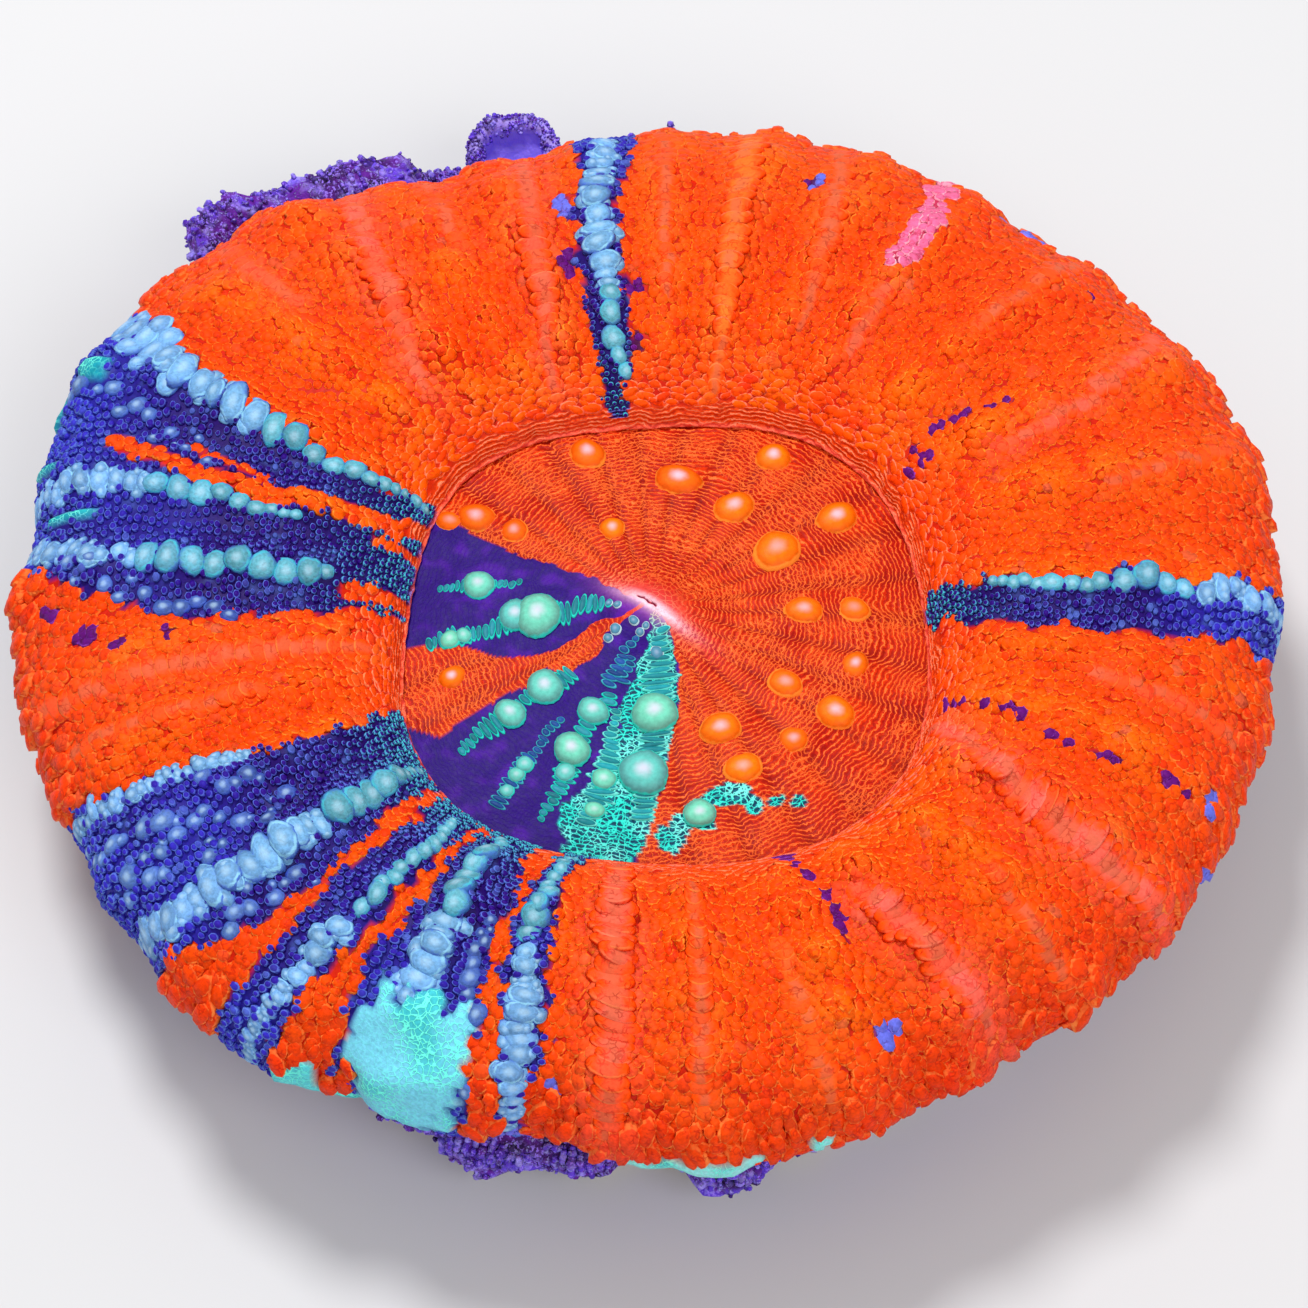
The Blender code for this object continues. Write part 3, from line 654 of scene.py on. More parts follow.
def bead_finish(name, rim_from, crease, cracked):
    """Papillae: a tinted dome with a broken bright rim, a painted highlight that is stronger on its outer
    side, and dark creases and cracks, painted shade.
    """
    shader = Shader(name, 0.5, 0.08)
    distance, _, outward, _ = bead_place(shader)
    distance = shader.math("ADD", distance, shader.stray(shader.noise(0.35), 0.16))
    # rim: a painted highlight along the dome's edge
    rim = shader.band(distance, rim_from, rim_from + 0.1, rim_from + 0.16, rim_from + 0.26)
    outer = shader.scaled(shader.ramp(outward, -0.5, 0.5), 0.5, 0.5)
    rim = shader.times(rim, outer, shader.patches(0.6, 1.0, 0.32, 0.5))
    tint = mottled(shader, shader.attribute("tint"), 0.24, 0.2)
    # dark: the tint in painted shade, for the crease at the dome's foot and for the cracks
    dark = shader.shade(tint, crease)
    cracks = shader.times(net_lines(shader, 0.55, 0.16, 0.03), shader.patches(0.8, 1.0, 0.5, 0.6), cracked)
    colour = shader.mix(rim, tint, shader.attribute("edge"))
    colour = shader.mix(cracks, colour, dark)
    colour = shader.mix(shader.ramp(distance, rim_from + 0.18, 0.98), colour, dark)
    shader.bump(shader.math("SUBTRACT", shader.noise(0.16, 3.0), cracks), 0.05, 0.5)
    return shader.finish(colour, (0.5, 0.25, 0.38))


def bubble_finish():
    """Bubbles: domes pale in the middle, a painted highlight, with feathery darker sides, painted shade, and
    a thin bright rim, a painted highlight.
    """
    shader = Shader("bubble_flesh", 0.45, 0.12)
    distance, _, _, _ = bead_place(shader)
    folds = shader.noise(0.3, 3.0)
    uneven = shader.math("ADD", distance, shader.stray(folds, 0.7))
    distance = shader.math("ADD", distance, shader.stray(folds, 0.2))
    tint = mottled(shader, shader.attribute("tint"), 0.3, 0.3)
    # pale: painted highlight for the middle; dark: painted shade for the sides
    pale, dark = shader.mix(0.4, tint, paint(190, 224, 244)), shader.mix(0.65, tint, paint(40, 60, 186))
    colour = shader.mix(shader.ramp(distance, 0.5, 0.1), tint, pale)
    colour = shader.mix(shader.ramp(uneven, 0.62, 1.0), colour, dark)
    # rim: a painted highlight
    rim = shader.times(shader.band(distance, 0.7, 0.8, 0.86, 0.95), shader.patches(1.2, 1.0, 0.36, 0.6), 0.75)
    colour = shader.mix(rim, colour, shader.attribute("edge"))
    shader.bump(folds, 0.14, 0.7)
    return shader.finish(colour)


def ridge_finish():
    """Bars of the ridges: tinted in the middle, some with a grey spot, and plain orange at their ends, with a
    bright outer rim as painted highlight and painted shade at their edges and in fine cracks.
    """
    shader = Shader("ridge_flesh", 0.5, 0.08)
    distance, sideways, outward, chance = bead_place(shader)
    uneven = shader.stray(shader.noise(0.7, 3.0), 0.7)
    from_middle = shader.math("ADD", shader.math("ABSOLUTE", sideways), uneven)
    tint = mottled(shader, shader.attribute("tint"), 0.24, 0.18)
    plain = mottled(shader, ORANGE, 0.24, 0.18)
    colour = shader.mix(shader.ramp(from_middle, 0.2, 0.8), tint, plain)
    spot = shader.times(shader.ramp(from_middle, 0.5, 0.15), shader.ramp(chance, 0.3, 0.45), 0.6)
    colour = shader.mix(spot, colour, BROWN_GREY)
    distance = shader.math("ADD", distance, shader.times(uneven, 0.3))
    # outer rim: a painted highlight
    outer = shader.times(shader.ramp(outward, 0.1, 0.6), 0.5)
    rim = shader.times(shader.band(distance, 0.74, 0.84, 0.9, 0.98), outer)
    colour = shader.mix(rim, colour, shader.attribute("edge"))
    # dark: painted shade at the bars' edges and in the cracks
    dark = shader.shade(colour, (0.7, 0.3, 0.3))
    cracks = shader.times(net_lines(shader, 0.6, 0.12, 0.03), shader.patches(0.8, 1.0, 0.45, 0.6))
    creased = shader.math("MAXIMUM", shader.ramp(distance, 0.9, 1.02), shader.times(cracks, 0.6))
    colour = shader.mix(creased, colour, dark)
    shader.bump(shader.math("SUBTRACT", shader.noise(0.25, 3.0), cracks), 0.08, 0.6)
    return shader.finish(colour)


# ---------------------------------------------------------------- colour of the mantle


def blend(first, second, share):
    return first + (second - first) * np.asarray(share)[..., None]


def in_field(direction, reach):
    """True in the indigo fields."""
    inside = np.zeros(np.shape(direction), bool)
    for first, second in FIELDS:
        start, outside = along(first, reach)
        end, _ = along(second, reach)
        near = np.abs(turn_between(direction, (start + end) / 2)) < (end - start) / 2
        inside |= near & ((outside < 0.02) | (reach > first[-1][0]))
    return inside


def orange_flesh(direction, reach, radius, points, uneven, patchy):
    """Tint and rim of the orange flesh, with painted shade in its furrows and tinted ridges; the rim colour
    is a painted highlight.
    """
    tint = blend(ORANGE, ORANGE_YELLOW, smooth(0.35 + 0.9 * patchy + 0.6 * uneven))
    tint = blend(tint, ORANGE_RED, np.maximum(smooth(-1.4 * uneven - 0.1), smooth((reach - 0.75) / 0.4)))
    tint = blend(tint, BROWN_GREY, 0.7 * smooth(3.2 * rough(points + 60, 1.7) - 1.3) * smooth(reach * 3))
    ribs = lobes(direction, [(place, 1, RIB_SPREAD) for place, _ in RIDGES])
    # darker red away from the ridges: painted shade in the furrows
    tint = blend(tint, FURROW_SHADE, 0.55 * smooth(1 - ribs) * smooth(reach / 0.25))
    for path, colour, strength in RIDGE_ROWS:
        middle, outside = along(path, reach)
        sideways = aside(direction, middle, radius) / (read_off(path, reach, 2) * 0.6)
        share = strength * np.exp(-(sideways ** 2) - (np.clip(outside, 0, None) / 0.06) ** 2)
        tint = blend(tint, colour, 0.6 * share * (0.75 + 0.5 * patchy))
    return tint, blend(HIGHLIGHT_ORANGE, HIGHLIGHT_PINK, smooth(1 - reach * 5) + 0.5 * smooth(reach - 0.5))


def indigo_flesh(reach, points, patchy):
    blue = blend(INDIGO, INDIGO_BLUE, smooth((reach - 0.35) * 1.1 + 0.5 * patchy))
    blue = blend(blue, GREY_BLUE, 0.7 * smooth(2.2 * rough(points + 40, 0.9) - 0.5) * smooth(reach * 3))
    # rim: painted highlight colours for the papillae's edges
    rim = blend(HIGHLIGHT_TEAL, HIGHLIGHT_VIOLET, smooth(reach * 3.2))
    return blue, blend(rim, SKY_BLUE, smooth((reach - 0.6) * 1.6))


def mantle_tints(direction, travel, points):
    """Tint and rim colours at spots of the mantle, the rims a painted highlight, and which spots lie in
    indigo flesh.
    """
    reach = reach_of_travel(travel)
    radius = np.hypot(points[:, 0], points[:, 1])
    jagged = direction + np.degrees(FIELD_JAG * rough(points, 1.3) / radius)
    uneven, patchy = rough(points, 1.6), rough(points, 7.0)
    tint, rim = orange_flesh(jagged, reach, radius, points, uneven, patchy)
    indigo = in_field(jagged, reach)
    for path, half, kind in LINES:
        middle, outside = along(path, reach)
        on = (np.abs(aside(direction, middle, radius) + 0.3 * uneven) < half) & (outside < 0)
        indigo &= ~on
        if kind != "orange":
            tint[on], rim[on] = KINDS[kind]
    blue, blue_rim = indigo_flesh(reach, points, patchy)
    tint[indigo], rim[indigo] = blue[indigo], blue_rim[indigo]
    for place, middle, half_length, half_width, kind in PATCHES:
        sideways = aside(direction, middle, radius) / half_width
        lengthways = (travel - travel_of_reach(place)) / half_length
        on = sideways ** 2 + lengthways ** 2 + 0.7 * uneven < 1
        tint[on], rim[on] = KINDS[kind]
    return tint, rim, indigo


def net_cover(direction, travel, points):
    """How far inside a netted patch each spot is, 0 outside to 1, and that patch's tint."""
    radius = np.hypot(points[..., 0], points[..., 1])
    uneven = 0.5 * rough(points, 1.6) + 0.3 * rough(points, 0.7)
    cover, tint = np.zeros(radius.shape), np.zeros(radius.shape + (3,))
    for place, middle, half_length, half_width, colour in NETS:
        sideways = aside(direction, middle, radius) / half_width
        lengthways = (travel - travel_of_reach(place)) / half_length
        share = smooth((1 - sideways ** 4 - lengthways ** 2 + 1.3 * uneven) / 0.3)
        tint[share > cover] = colour
        cover = np.maximum(cover, share)
    return cover, tint


# ---------------------------------------------------------------- the mantle

SECTORS = {"right": (-45, 45), "back": (45, 135), "left": (135, 225), "front": (225, 315)}
# Papillae: widths and the distance of their rows in mm, as (reach, size)
SCALE_WIDTHS = ((0, 1.5), (0.06, 1.2), (0.16, 0.85), (0.45, 0.8), (0.7, 0.88), (0.9, 1.16), (1.1, 1.2))
SCALE_PITCHES = ((0, 0.4), (0.06, 0.46), (0.2, 0.58), (0.5, 0.62), (0.7, 0.67), (0.9, 0.78), (1.2, 0.88))
BEAD_WIDTHS = ((0, 0.52), (0.1, 0.6), (0.5, 0.86), (1.0, 1.0))
BEAD_PITCHES = ((0, 0.44), (0.1, 0.45), (0.5, 0.54), (1.0, 0.66))
WRINKLED_FROM_FOLD, BARE_FROM_FOLD, FIRST_ROW = 2.4, 0.7, 0.25
TEETH_SHARE = 0.45          # of the scales on the margin
LONGEST_BUBBLE = 1.7


def packed(widths, pitches, seed):
    """Spots in rows round the mantle: direction, travel, width and the rows' pitch at each."""
    draw = np.random.default_rng(seed)
    fine = np.arange(0, 360, 0.25)
    travel, found = FIRST_ROW, []
    while travel < HEM_TRAVEL:
        reach = reach_of_travel(travel)
        width, pitch = read_off(widths, reach), read_off(pitches, reach)
        radius = mantle_radius(fine, travel)
        passed = np.cumsum(radians(0.25) * radius / width)
        count = int(passed[-1])
        marks = (np.arange(count) + draw.random()) * passed[-1] / count
        direction = np.interp(marks % passed[-1], passed, fine)
        direction = direction + draw.normal(0, 0.14, count) * np.degrees(width / radius.mean())
        rows = travel + draw.normal(0, 0.13, count) * pitch
        found.append(np.stack([direction % 360, rows, np.full(count, width), np.full(count, pitch)], 1))
        travel += pitch
    return np.concatenate(found)


def under_bubbles(spots, bubbles):
    """True for spots that a bubble covers."""
    covered = np.zeros(len(spots), bool)
    for direction, travel, width, length in bubbles:
        sideways = aside(spots[:, 0], direction, mantle_radius(direction, travel)) / width
        covered |= sideways ** 2 + ((spots[:, 1] - travel) / length) ** 2 < 0.45
    return covered


def add_stamps(name, template, spots, sizes, shape, tint, rim, finish, draw):
    """One piece of stamped domes for each sector, with a bake map laid out like the mantle."""
    frames = frames_on(mantle, spots[:, 0], turns_of_travel(spots[:, 1]), 0.02)
    marks = draw.random(len(spots))
    for sector, (start, end) in SECTORS.items():
        inside = (spots[:, 0] - start) % 360 < end - start
        if not inside.any():
            continue
        part, part_sizes = [vectors[inside] for vectors in frames], [size[inside] for size in sizes]
        made, triangles, local = stamp(template, part, part_sizes, *shape, start % 360)
        attributes = dome_attributes(local, marks[inside], tint[inside], rim[inside])
        bake_map = bead_map(template, spots[inside], part_sizes, start, end - start)
        new_piece(f"{name}_{sector}", made, triangles, finish, attributes, FLESH, bake_map)


def bead_map(template, spots, sizes, start, span):
    """Map corners: each dome's top lies where it is on the mantle, and its base in a strip above."""
    points, top, bottom = template
    direction = (spots[:, 0] - start) % 360
    middle = np.stack([0.01 + 0.98 * direction / span, 0.01 + 0.93 * spots[:, 1] / HEM_TRAVEL], 1)
    scale = np.stack([sizes[0] / (radians(span) * 40), 0.93 * sizes[1] / HEM_TRAVEL], 1)
    flat = middle[:, None] + points[None, :, :2] * scale[:, None]
    number = np.arange(len(spots))
    strip = np.stack([0.01 + 0.98 * number / len(spots), np.full(len(spots), 0.97)], 1)
    below = strip[:, None] + points[None, :, :2] * 0.004
    return np.concatenate([flat[:, top.ravel()], below[:, bottom.ravel()]], 1)


def skin_colours(direction, travel, points, wrinkled, rim, cover, net_tint):
    """Colour of the skin between the papillae, darkened there as painted shade, and of its fine lines, bright
    as painted highlight.
    """
    tint, edge, indigo = (part.reshape(travel.shape + (-1,)) for part in
                          mantle_tints(direction.ravel(), travel.ravel(), points.reshape(-1, 3)))
    # crease: the tint darkened as painted shade between the papillae
    crease = np.where(indigo, tint * 0.6, tint * np.array([0.62, 0.2, 0.3]))
    folded = np.where(indigo, tint * 0.8, paint(240, 74, 10))
    net_tint = blend(net_tint, paint(40, 190, 196), 0.8 * smooth(1.8 * rough(points + 50, 3.5)))
    crease = blend(blend(crease, folded, wrinkled), net_tint, cover)
    # edge: painted highlight colours of rims, wrinkle crests and the net's lines
    edge = blend(edge, np.where(indigo, HIGHLIGHT_VIOLET, paint(255, 136, 96)), wrinkled)
    edge = blend(edge, paint(112, 255, 232), cover)
    return (blend(shade, paint(255, 104, 84), 0.8 * rim) for shade in (crease, edge))


def skin_grid(columns):
    """Direction, travel, place and normal of a grid over the mantle, finer near the fold and below
    the crest, whose last rows run in under the flesh."""
    travel = (np.linspace(0, 3.2, 40), np.linspace(3.8, 20, 26), np.linspace(20.6, HEM_TRAVEL, 40))
    under = (3.35, 3.7, 4.0)
    direction, turns = np.meshgrid(ring(columns), [*turns_of_travel(np.concatenate(travel)), *under])
    points, _, _, normal = frames_on(mantle, direction, turns, 0.01)
    normal[-len(under):] = (0, 0, -1)
    return direction, np.interp(turns, SECTION_TURNS, SECTION_TRAVEL), points, normal


def add_mantle_skin():
    """The closed ring of flesh that the papillae stand on. It shows as the creases between them, as
    the wrinkles next to the fold and as the netted neon patches."""
    columns = 480
    direction, travel, points, normal = skin_grid(columns)
    cover, net_tint = net_cover(direction, travel, points)
    wrinkled = smooth((WRINKLED_FROM_FOLD + 0.9 * rough(points, 1.8) - travel) / 0.6)
    phase = travel / 0.4 + 1.6 * rough(points, 3.0) + 0.5 * rough(points, 1.1)
    crest = (0.5 + 0.5 * np.cos(tau * phase)) ** 1.5
    rim = bell(travel - 0.35 - 0.15 * rough(points, 4.0), 0.2)
    lumps = 0.55 + 0.45 * rough(points, 2.4) + 0.12 * rough(points, 0.8)
    lift = 0.12 * wrinkled * crest + 0.26 * rim + cover * lumps
    points = points + normal * lift[..., None]
    # crease: skin colour with painted shade between the papillae; edge: painted highlight colours
    crease, edge = skin_colours(direction, travel, points, wrinkled, rim, cover, net_tint)
    netted = cover * (0.15 + 0.85 * smooth(0.5 + 1.5 * rough(points + 50, 3.5)))
    inner = np.array([at(ring(columns), fold_radius(ring(columns)) + out, height)
                      for out, height in ((-1.6, SEAT_Z), (-1.6, FOLD_Z - 1.4), (-0.1, FOLD_Z - 0.9))])

    def with_inner(values):
        values = values.reshape(travel.size, -1)
        return np.concatenate([values, np.tile(values[:columns], (len(inner), 1))]).squeeze()

    attributes = {"tint": crease, "edge": edge, "phase": phase, "wrinkled": wrinkled, "netted": netted}
    new_piece("mantle_skin", np.concatenate([points, inner]).reshape(-1, 3),
              grid_faces(len(points) + len(inner), columns, True), wrinkled_finish("mantle_flesh"),
              {title: with_inner(values) for title, values in attributes.items()})


def row_of_domes(points, step_of, overlap, uneven, draw):
    """Spots along a row of (reach, direction, width) points: direction, travel, half width, half length."""
    travel, end = travel_of_reach(points[0][0]), travel_of_reach(points[-1][0])
    while travel <= end + 0.2:
        reach = reach_of_travel(travel)
        width = read_off(points, reach, 2) * draw.uniform(1 - uneven, 1 + uneven)
        length = step_of(width)
        yield read_off(points, reach) + draw.normal(0, 0.22), travel, width / 2, length * overlap
        travel += length


def bubble_spots():
    """Each ray bubble, those near the margin with side lobes, and its kind."""
    draw = np.random.default_rng(7)
    spots, kinds = [], []
    for kind, points in BUBBLE_ROWS:
        _, _, least, uneven, stray = BUBBLE_KINDS[kind]

        def step_of(width):
            return min(LONGEST_BUBBLE, width * draw.uniform(least, least + 0.25))

        for direction, travel, half, length in row_of_domes(points, step_of, 0.7, uneven, draw):
            spots.append((direction + draw.normal(0, stray), travel, half, length))
            kinds.append(kind)
            radius = float(section(turns_of_travel(travel))[0])
            for side in (-1, 1) if kind == "sky" else ():
                lobe = half * draw.uniform(0.35, 0.6)
                turn = np.degrees(side * half * draw.uniform(0.45, 0.8) / radius)
                spots.append((direction + turn, travel + draw.uniform(-0.6, 0.6) * length,
                              lobe, lobe * draw.uniform(0.8, 1.2)))
                kinds.append(kind)
    spots = np.array(spots)
    netted = net_cover(spots[:, 0], spots[:, 1], mantle(spots[:, 0], turns_of_travel(spots[:, 1])))[0]
    return spots[netted < 0.5], [kind for kind, share in zip(kinds, netted) if share < 0.5]


def add_ray_bubbles(spots, kinds):
    widths, lengths = spots[:, 2], spots[:, 3]
    draw = np.random.default_rng(11)
    heights = (0.2 + 0.24 * np.minimum(widths, lengths)) * draw.uniform(0.85, 1.2, len(widths))
    tint, rim = (np.array([BUBBLE_KINDS[kind][i] for kind in kinds]) for i in (0, 1))
    tint = blend(tint, SKY_BLUE, 0.45 * smooth((reach_of_travel(spots[:, 1]) - 0.4) * 1.8))
    tint = tint * draw.uniform(0.75, 1.15, (len(tint), 1))
    add_stamps("ray_bubbles", dome(14, 5, 0.5, 1.2), spots, (widths, lengths, heights),
               (0.15, 0.07, 0), tint, rim, bubble_finish(), draw)


def ridge_spots():
    """Each bar of the orange ridges, with the colour and strength of its row."""
    draw = np.random.default_rng(31)
    spots, colours, shares = [], [], []
    for points, colour, share in RIDGE_ROWS:
        for spot in row_of_domes(points, lambda width: draw.uniform(0.85, 1.2), 0.8, 0.1, draw):
            spots.append(spot)
            colours.append(colour)
            shares.append(share)
    return np.array(spots), np.array(colours), np.array(shares)


def add_ridge_bars(spots, colours, shares):
    draw = np.random.default_rng(33)
    widths, lengths = spots[:, 2], spots[:, 3]
    heights = (0.2 + 0.04 * widths) * draw.uniform(0.95, 1.05, len(widths))
    shares = shares * draw.uniform(0.35, 1.15, len(widths))
    add_stamps("ridge_bars", dome(16, 5, 0.5, 1.4), spots, (widths, lengths, heights), (0.45, 0.03, 3),
               blend(ORANGE, colours, shares), blend(HIGHLIGHT_ORANGE, HIGHLIGHT_PINK, shares), ridge_finish(), draw)


def papilla_spots(widths, pitches, seed, indigo_ones, bubbles):
    """Spots for one kind of papillae, clear of bubbles, nets and fold, with their tint and the colour of
    their painted rim highlight.
    """
    spots = packed(widths, pitches, seed)
    points = mantle(spots[:, 0], turns_of_travel(spots[:, 1]))
    tint, rim, indigo = mantle_tints(spots[:, 0], spots[:, 1], points)
    bare = net_cover(spots[:, 0], spots[:, 1], points)[0] > 0.5
    wrinkled_to = WRINKLED_FROM_FOLD - 0.3 + 0.9 * rough(points, 1.8)
    bare |= spots[:, 1] < (BARE_FROM_FOLD if indigo_ones else wrinkled_to)
    keep = (indigo == indigo_ones) & ~under_bubbles(spots, bubbles) & ~bare
    return spots[keep], tint[keep], rim[keep]


def add_scales(bubbles):
    """Scale-like papillae on the orange flesh. Some at the margin stand out as teeth."""
    spots, tint, rim = papilla_spots(SCALE_WIDTHS, SCALE_PITCHES, 3, False, bubbles)
    draw = np.random.default_rng(4)
    count = len(spots)
    uneven = draw.uniform(0.72, 1.35, count)
    widths, lengths = spots[:, 2] * 0.68 * uneven, spots[:, 3] * 0.98 * uneven
    heights = spots[:, 3] * 0.26 * draw.uniform(0.6, 1.4, count)
    teeth = bell(reach_of_travel(spots[:, 1]) - 1.0, 0.05) * (draw.random(count) > 1 - TEETH_SHARE)
    sizes = widths, lengths * (1 + 0.9 * teeth), heights * (1 + 2.4 * teeth)
    tint = tint * draw.uniform(0.94, 1.04, (count, 1))
    add_stamps("scales", dome(8, 2, 0.5, 1.6), spots, sizes, (0.35, 0.08, 35), tint, rim,
               bead_finish("scale_flesh", 0.6, (0.55, 0.12, 0.2), 0.55), draw)


def add_papillae(bubbles):
    """Small round papillae on the indigo flesh."""
    spots, tint, rim = papilla_spots(BEAD_WIDTHS, BEAD_PITCHES, 5, True, bubbles)
    draw = np.random.default_rng(6)
    uneven = draw.uniform(0.72, 1.35, len(spots))
    height = spots[:, 3] * 0.6 * uneven
    tint = tint * draw.uniform(0.94, 1.04, (len(spots), 1))
    add_stamps("papillae", dome(6, 2, 0.35), spots, (spots[:, 2] * 0.5 * uneven, height, height),
               (0.2, 0.05, 0), tint, rim, bead_finish("papilla_flesh", 0.46, (0.2, 0.15, 0.4), 0), draw)


# ---------------------------------------------------------------- the oral disc
# Edges of the disc's fields: lines of (distance from the mouth, direction)

BLUE_START = ((2, 156), (3, 148), (5.5, 145), (7.5, 149), (12, 152), (18.7, 151), (21.5, 152))
BLUE_END = ((2, 309), (3.6, 298), (5.8, 291.5), (8.1, 286), (9.9, 282), (11.2, 278.5), (14, 274.7),
            (15.6, 273.8), (17.2, 271.4), (19.7, 270), (22, 267))
NET_START = ((1.9, 273), (3, 263.6), (4.6, 260.4), (6.2, 260), (7.6, 254.4), (9.1, 253.6), (10.7, 256.7),
             (12.1, 253), (15.7, 254), (17, 252.3), (18.3, 248), (19.8, 249), (21.3, 252))
WEDGE_START = ((2.4, 202), (3.7, 194), (5, 195.5), (6.4, 203), (8.2, 205), (10, 202.6), (11.6, 201),
               (13.1, 196.4), (14.8, 191), (18, 188), (22, 185.5))
WEDGE_END = ((2.4, 213), (4.2, 212.4), (5, 223), (6, 226), (7.5, 221), (8.4, 223.3), (9.7, 212),
             (11.9, 215.2), (13.8, 212.8), (17.9, 213), (19.8, 213.6), (21.3, 208), (22, 207))
# Blots of teal net at the near edge of the disc: (direction, distance, radius)
NET_BLOTS = ((275, 20.0, 1.3), (278, 19.0, 1.0), (282, 18.5, 1.2), (287, 17.4, 0.9), (292, 17.8, 1.0),
             (295, 19.2, 0.8), (300, 19.8, 0.6), (304, 20.4, 0.5))

# Rows of small rings on the disc: points of (distance, direction, width)
DISC_ROWS = (
    ("teal", ((10.9, 164.2, 0.8), (12, 165.9, 0.9), (12.8, 166.6, 1.3), (15.4, 168.8, 1.3),
              (17.3, 170.2, 0.7))),
    ("teal", ((3.3, 171.8, 1.0), (4, 171.4, 1.7), (5.1, 173.2, 2.1), (6, 176.1, 1.9), (6.5, 180.5, 2.4),
              (10.5, 181, 3.0), (11.8, 184.7, 2.2), (12.9, 186.2, 1.9), (14, 186.5, 1.6), (15.2, 187.1, 2.0),
              (16.4, 187.1, 1.8), (17.7, 187.5, 1.3))),
    ("teal", ((8.5, 222.3, 2.0), (12.3, 219.5, 1.6), (15.6, 219.5, 2.1), (16.6, 219.1, 2.0),
              (17.7, 219.1, 1.3), (18.8, 219.4, 1.1), (19.5, 219.9, 0.8))),
    ("blue", ((12.1, 234.5, 0.7), (13.2, 233.3, 1.0), (15.3, 234.4, 0.9), (16.6, 234.6, 1.7),
              (17.8, 234.4, 1.6), (19.1, 234.6, 1.5), (20.8, 235.1, 1.6))),
    ("teal", ((8.4, 247.5, 1.6), (12, 244.3, 2.0), (15.7, 245.8, 2.1), (16.9, 246.1, 1.9), (18.2, 245.8, 1.3),
              (19.3, 245.2, 1.0), (20.2, 245.1, 0.7))),
    ("blue", ((3.2, 248.1, 0.7), (4.2, 244.3, 1.1), (5.5, 243.3, 1.3), (6.8, 243.7, 1.6), (8.0, 245.5, 1.6))),
    ("blue", ((4.8, 252, 0.8), (5.7, 251.2, 1.2), (7.2, 249.6, 1.4))),
    ("neon", ((2.5, 289.7, 1.3), (3.3, 282.9, 1.8), (4.2, 278.6, 2.2), (5.2, 276.9, 2.8), (6.4, 275.7, 3.2),
              (11.6, 271.5, 2.7), (13, 269.5, 2.7), (16.7, 268.2, 2.5), (18.6, 267.7, 2.0))),
    ("neon", ((9.6, 253.8, 0.9), (11, 254.9, 0.9), (12.9, 256.2, 2.0), (16.9, 256.7, 2.8), (18.2, 256.3, 2.0),
              (19.6, 255.4, 2.2))),
)
# (tint, rim): the rim is a painted highlight
DISC_PAINTS = {"teal": (paint(40, 134, 150), NEON_TEAL), "blue": (paint(34, 78, 150), HIGHLIGHT_TEAL),
               "neon": (paint(30, 148, 160), PALE_TEAL)}
# Small vesicles beside the large teal ones, and small pale rings by the mouth: (direction, distance, radius)
SMALL_VESICLES = ((181, 10.7, 1.5), (256.6, 15.5, 1.05), (256.3, 18.2, 0.9), (282, 18.6, 0.9),
                  (234.5, 16.8, 0.8), (234.5, 17.9, 0.75), (235, 19.4, 0.65), (187.5, 16.0, 0.9),
                  (187, 14.9, 0.8), (245.5, 15.9, 0.9))
PALE_RINGS = ((171.8, 3.3, 0.33), (175.8, 2.6, 0.36), (230, 2.0, 0.5), (217, 3.4, 0.55), (252, 2.6, 0.36),
              (260, 2.0, 0.3), (219.6, 4.3, 0.45), (277, 4.2, 0.6))


def between(first, second, direction, distance):
    """How far inside two edges of the disc a spot is, in mm; negative outside."""
    start, end = (turn_between(read_off(edge, distance), 180) + 180 for edge in (first, second))
    turn = direction % 360
    return np.radians(np.minimum(turn - start, end - turn)) * distance


def from_middles(points, spots):
    """For each spot of the disc given as (direction, distance, radius): how far the points are from it."""
    for direction, distance, radius in spots:
        middle = at(direction, distance, 0)
        yield np.hypot(points[..., 0] - middle[0], points[..., 1] - middle[1]), radius


def inside_blots(blots, points):
    """How far inside the nearest round blot a spot of the disc is, in mm; negative outside."""
    return np.max([radius - away for away, radius in from_middles(points, blots)], 0)


def vesicle_halo(points):
    """Low swellings of flesh round the orange vesicles."""
    return sum(0.3 * bell(away, radius * 1.5) for away, radius in from_middles(points, ORANGE_VESICLES))


def wrinkle_phase(direction, distance, points):
    """Counts the disc's concentric wrinkles: they bow between septa, are out of step from one
    septum to the next, and wander."""
    sector = direction / 360 * SEPTA
    within = sector - np.floor(sector)
    steps = np.random.default_rng(17).uniform(-1, 1, SEPTA + 1)
    bow = 1.1 * np.sin(pi * within) * smooth(distance / 12) * (0.5 + 0.8 * rough(points, 4.0))
    step = steps[np.floor(sector).astype(int) % SEPTA] * smooth(within / 0.14) * smooth((1 - within) / 0.14)
    wander = 1.3 * rough(points, 5.0) + 0.7 * rough(points, 1.5)
    return distance / WRINKLE_PITCH + bow + step * smooth(distance / 6) + wander + 5 * vesicle_halo(points)


def disc_fields(direction, distance, points):
    """Which spots of the disc are indigo, and which are netted."""
    blue = between(BLUE_START, BLUE_END, direction, distance) + 0.25 * rough(points, 0.9) > 0
    wedge = between(WEDGE_START, WEDGE_END, direction, distance) + 0.3 * rough(points, 1.1) > 0
    net = between(NET_START, BLUE_END, direction, distance) + 0.5 * rough(points, 1.0) > 0
    net = (net & blue) | (inside_blots(NET_BLOTS, points) + 0.6 * rough(points, 0.9) > 0)
    return blue & ~wedge & ~net, net


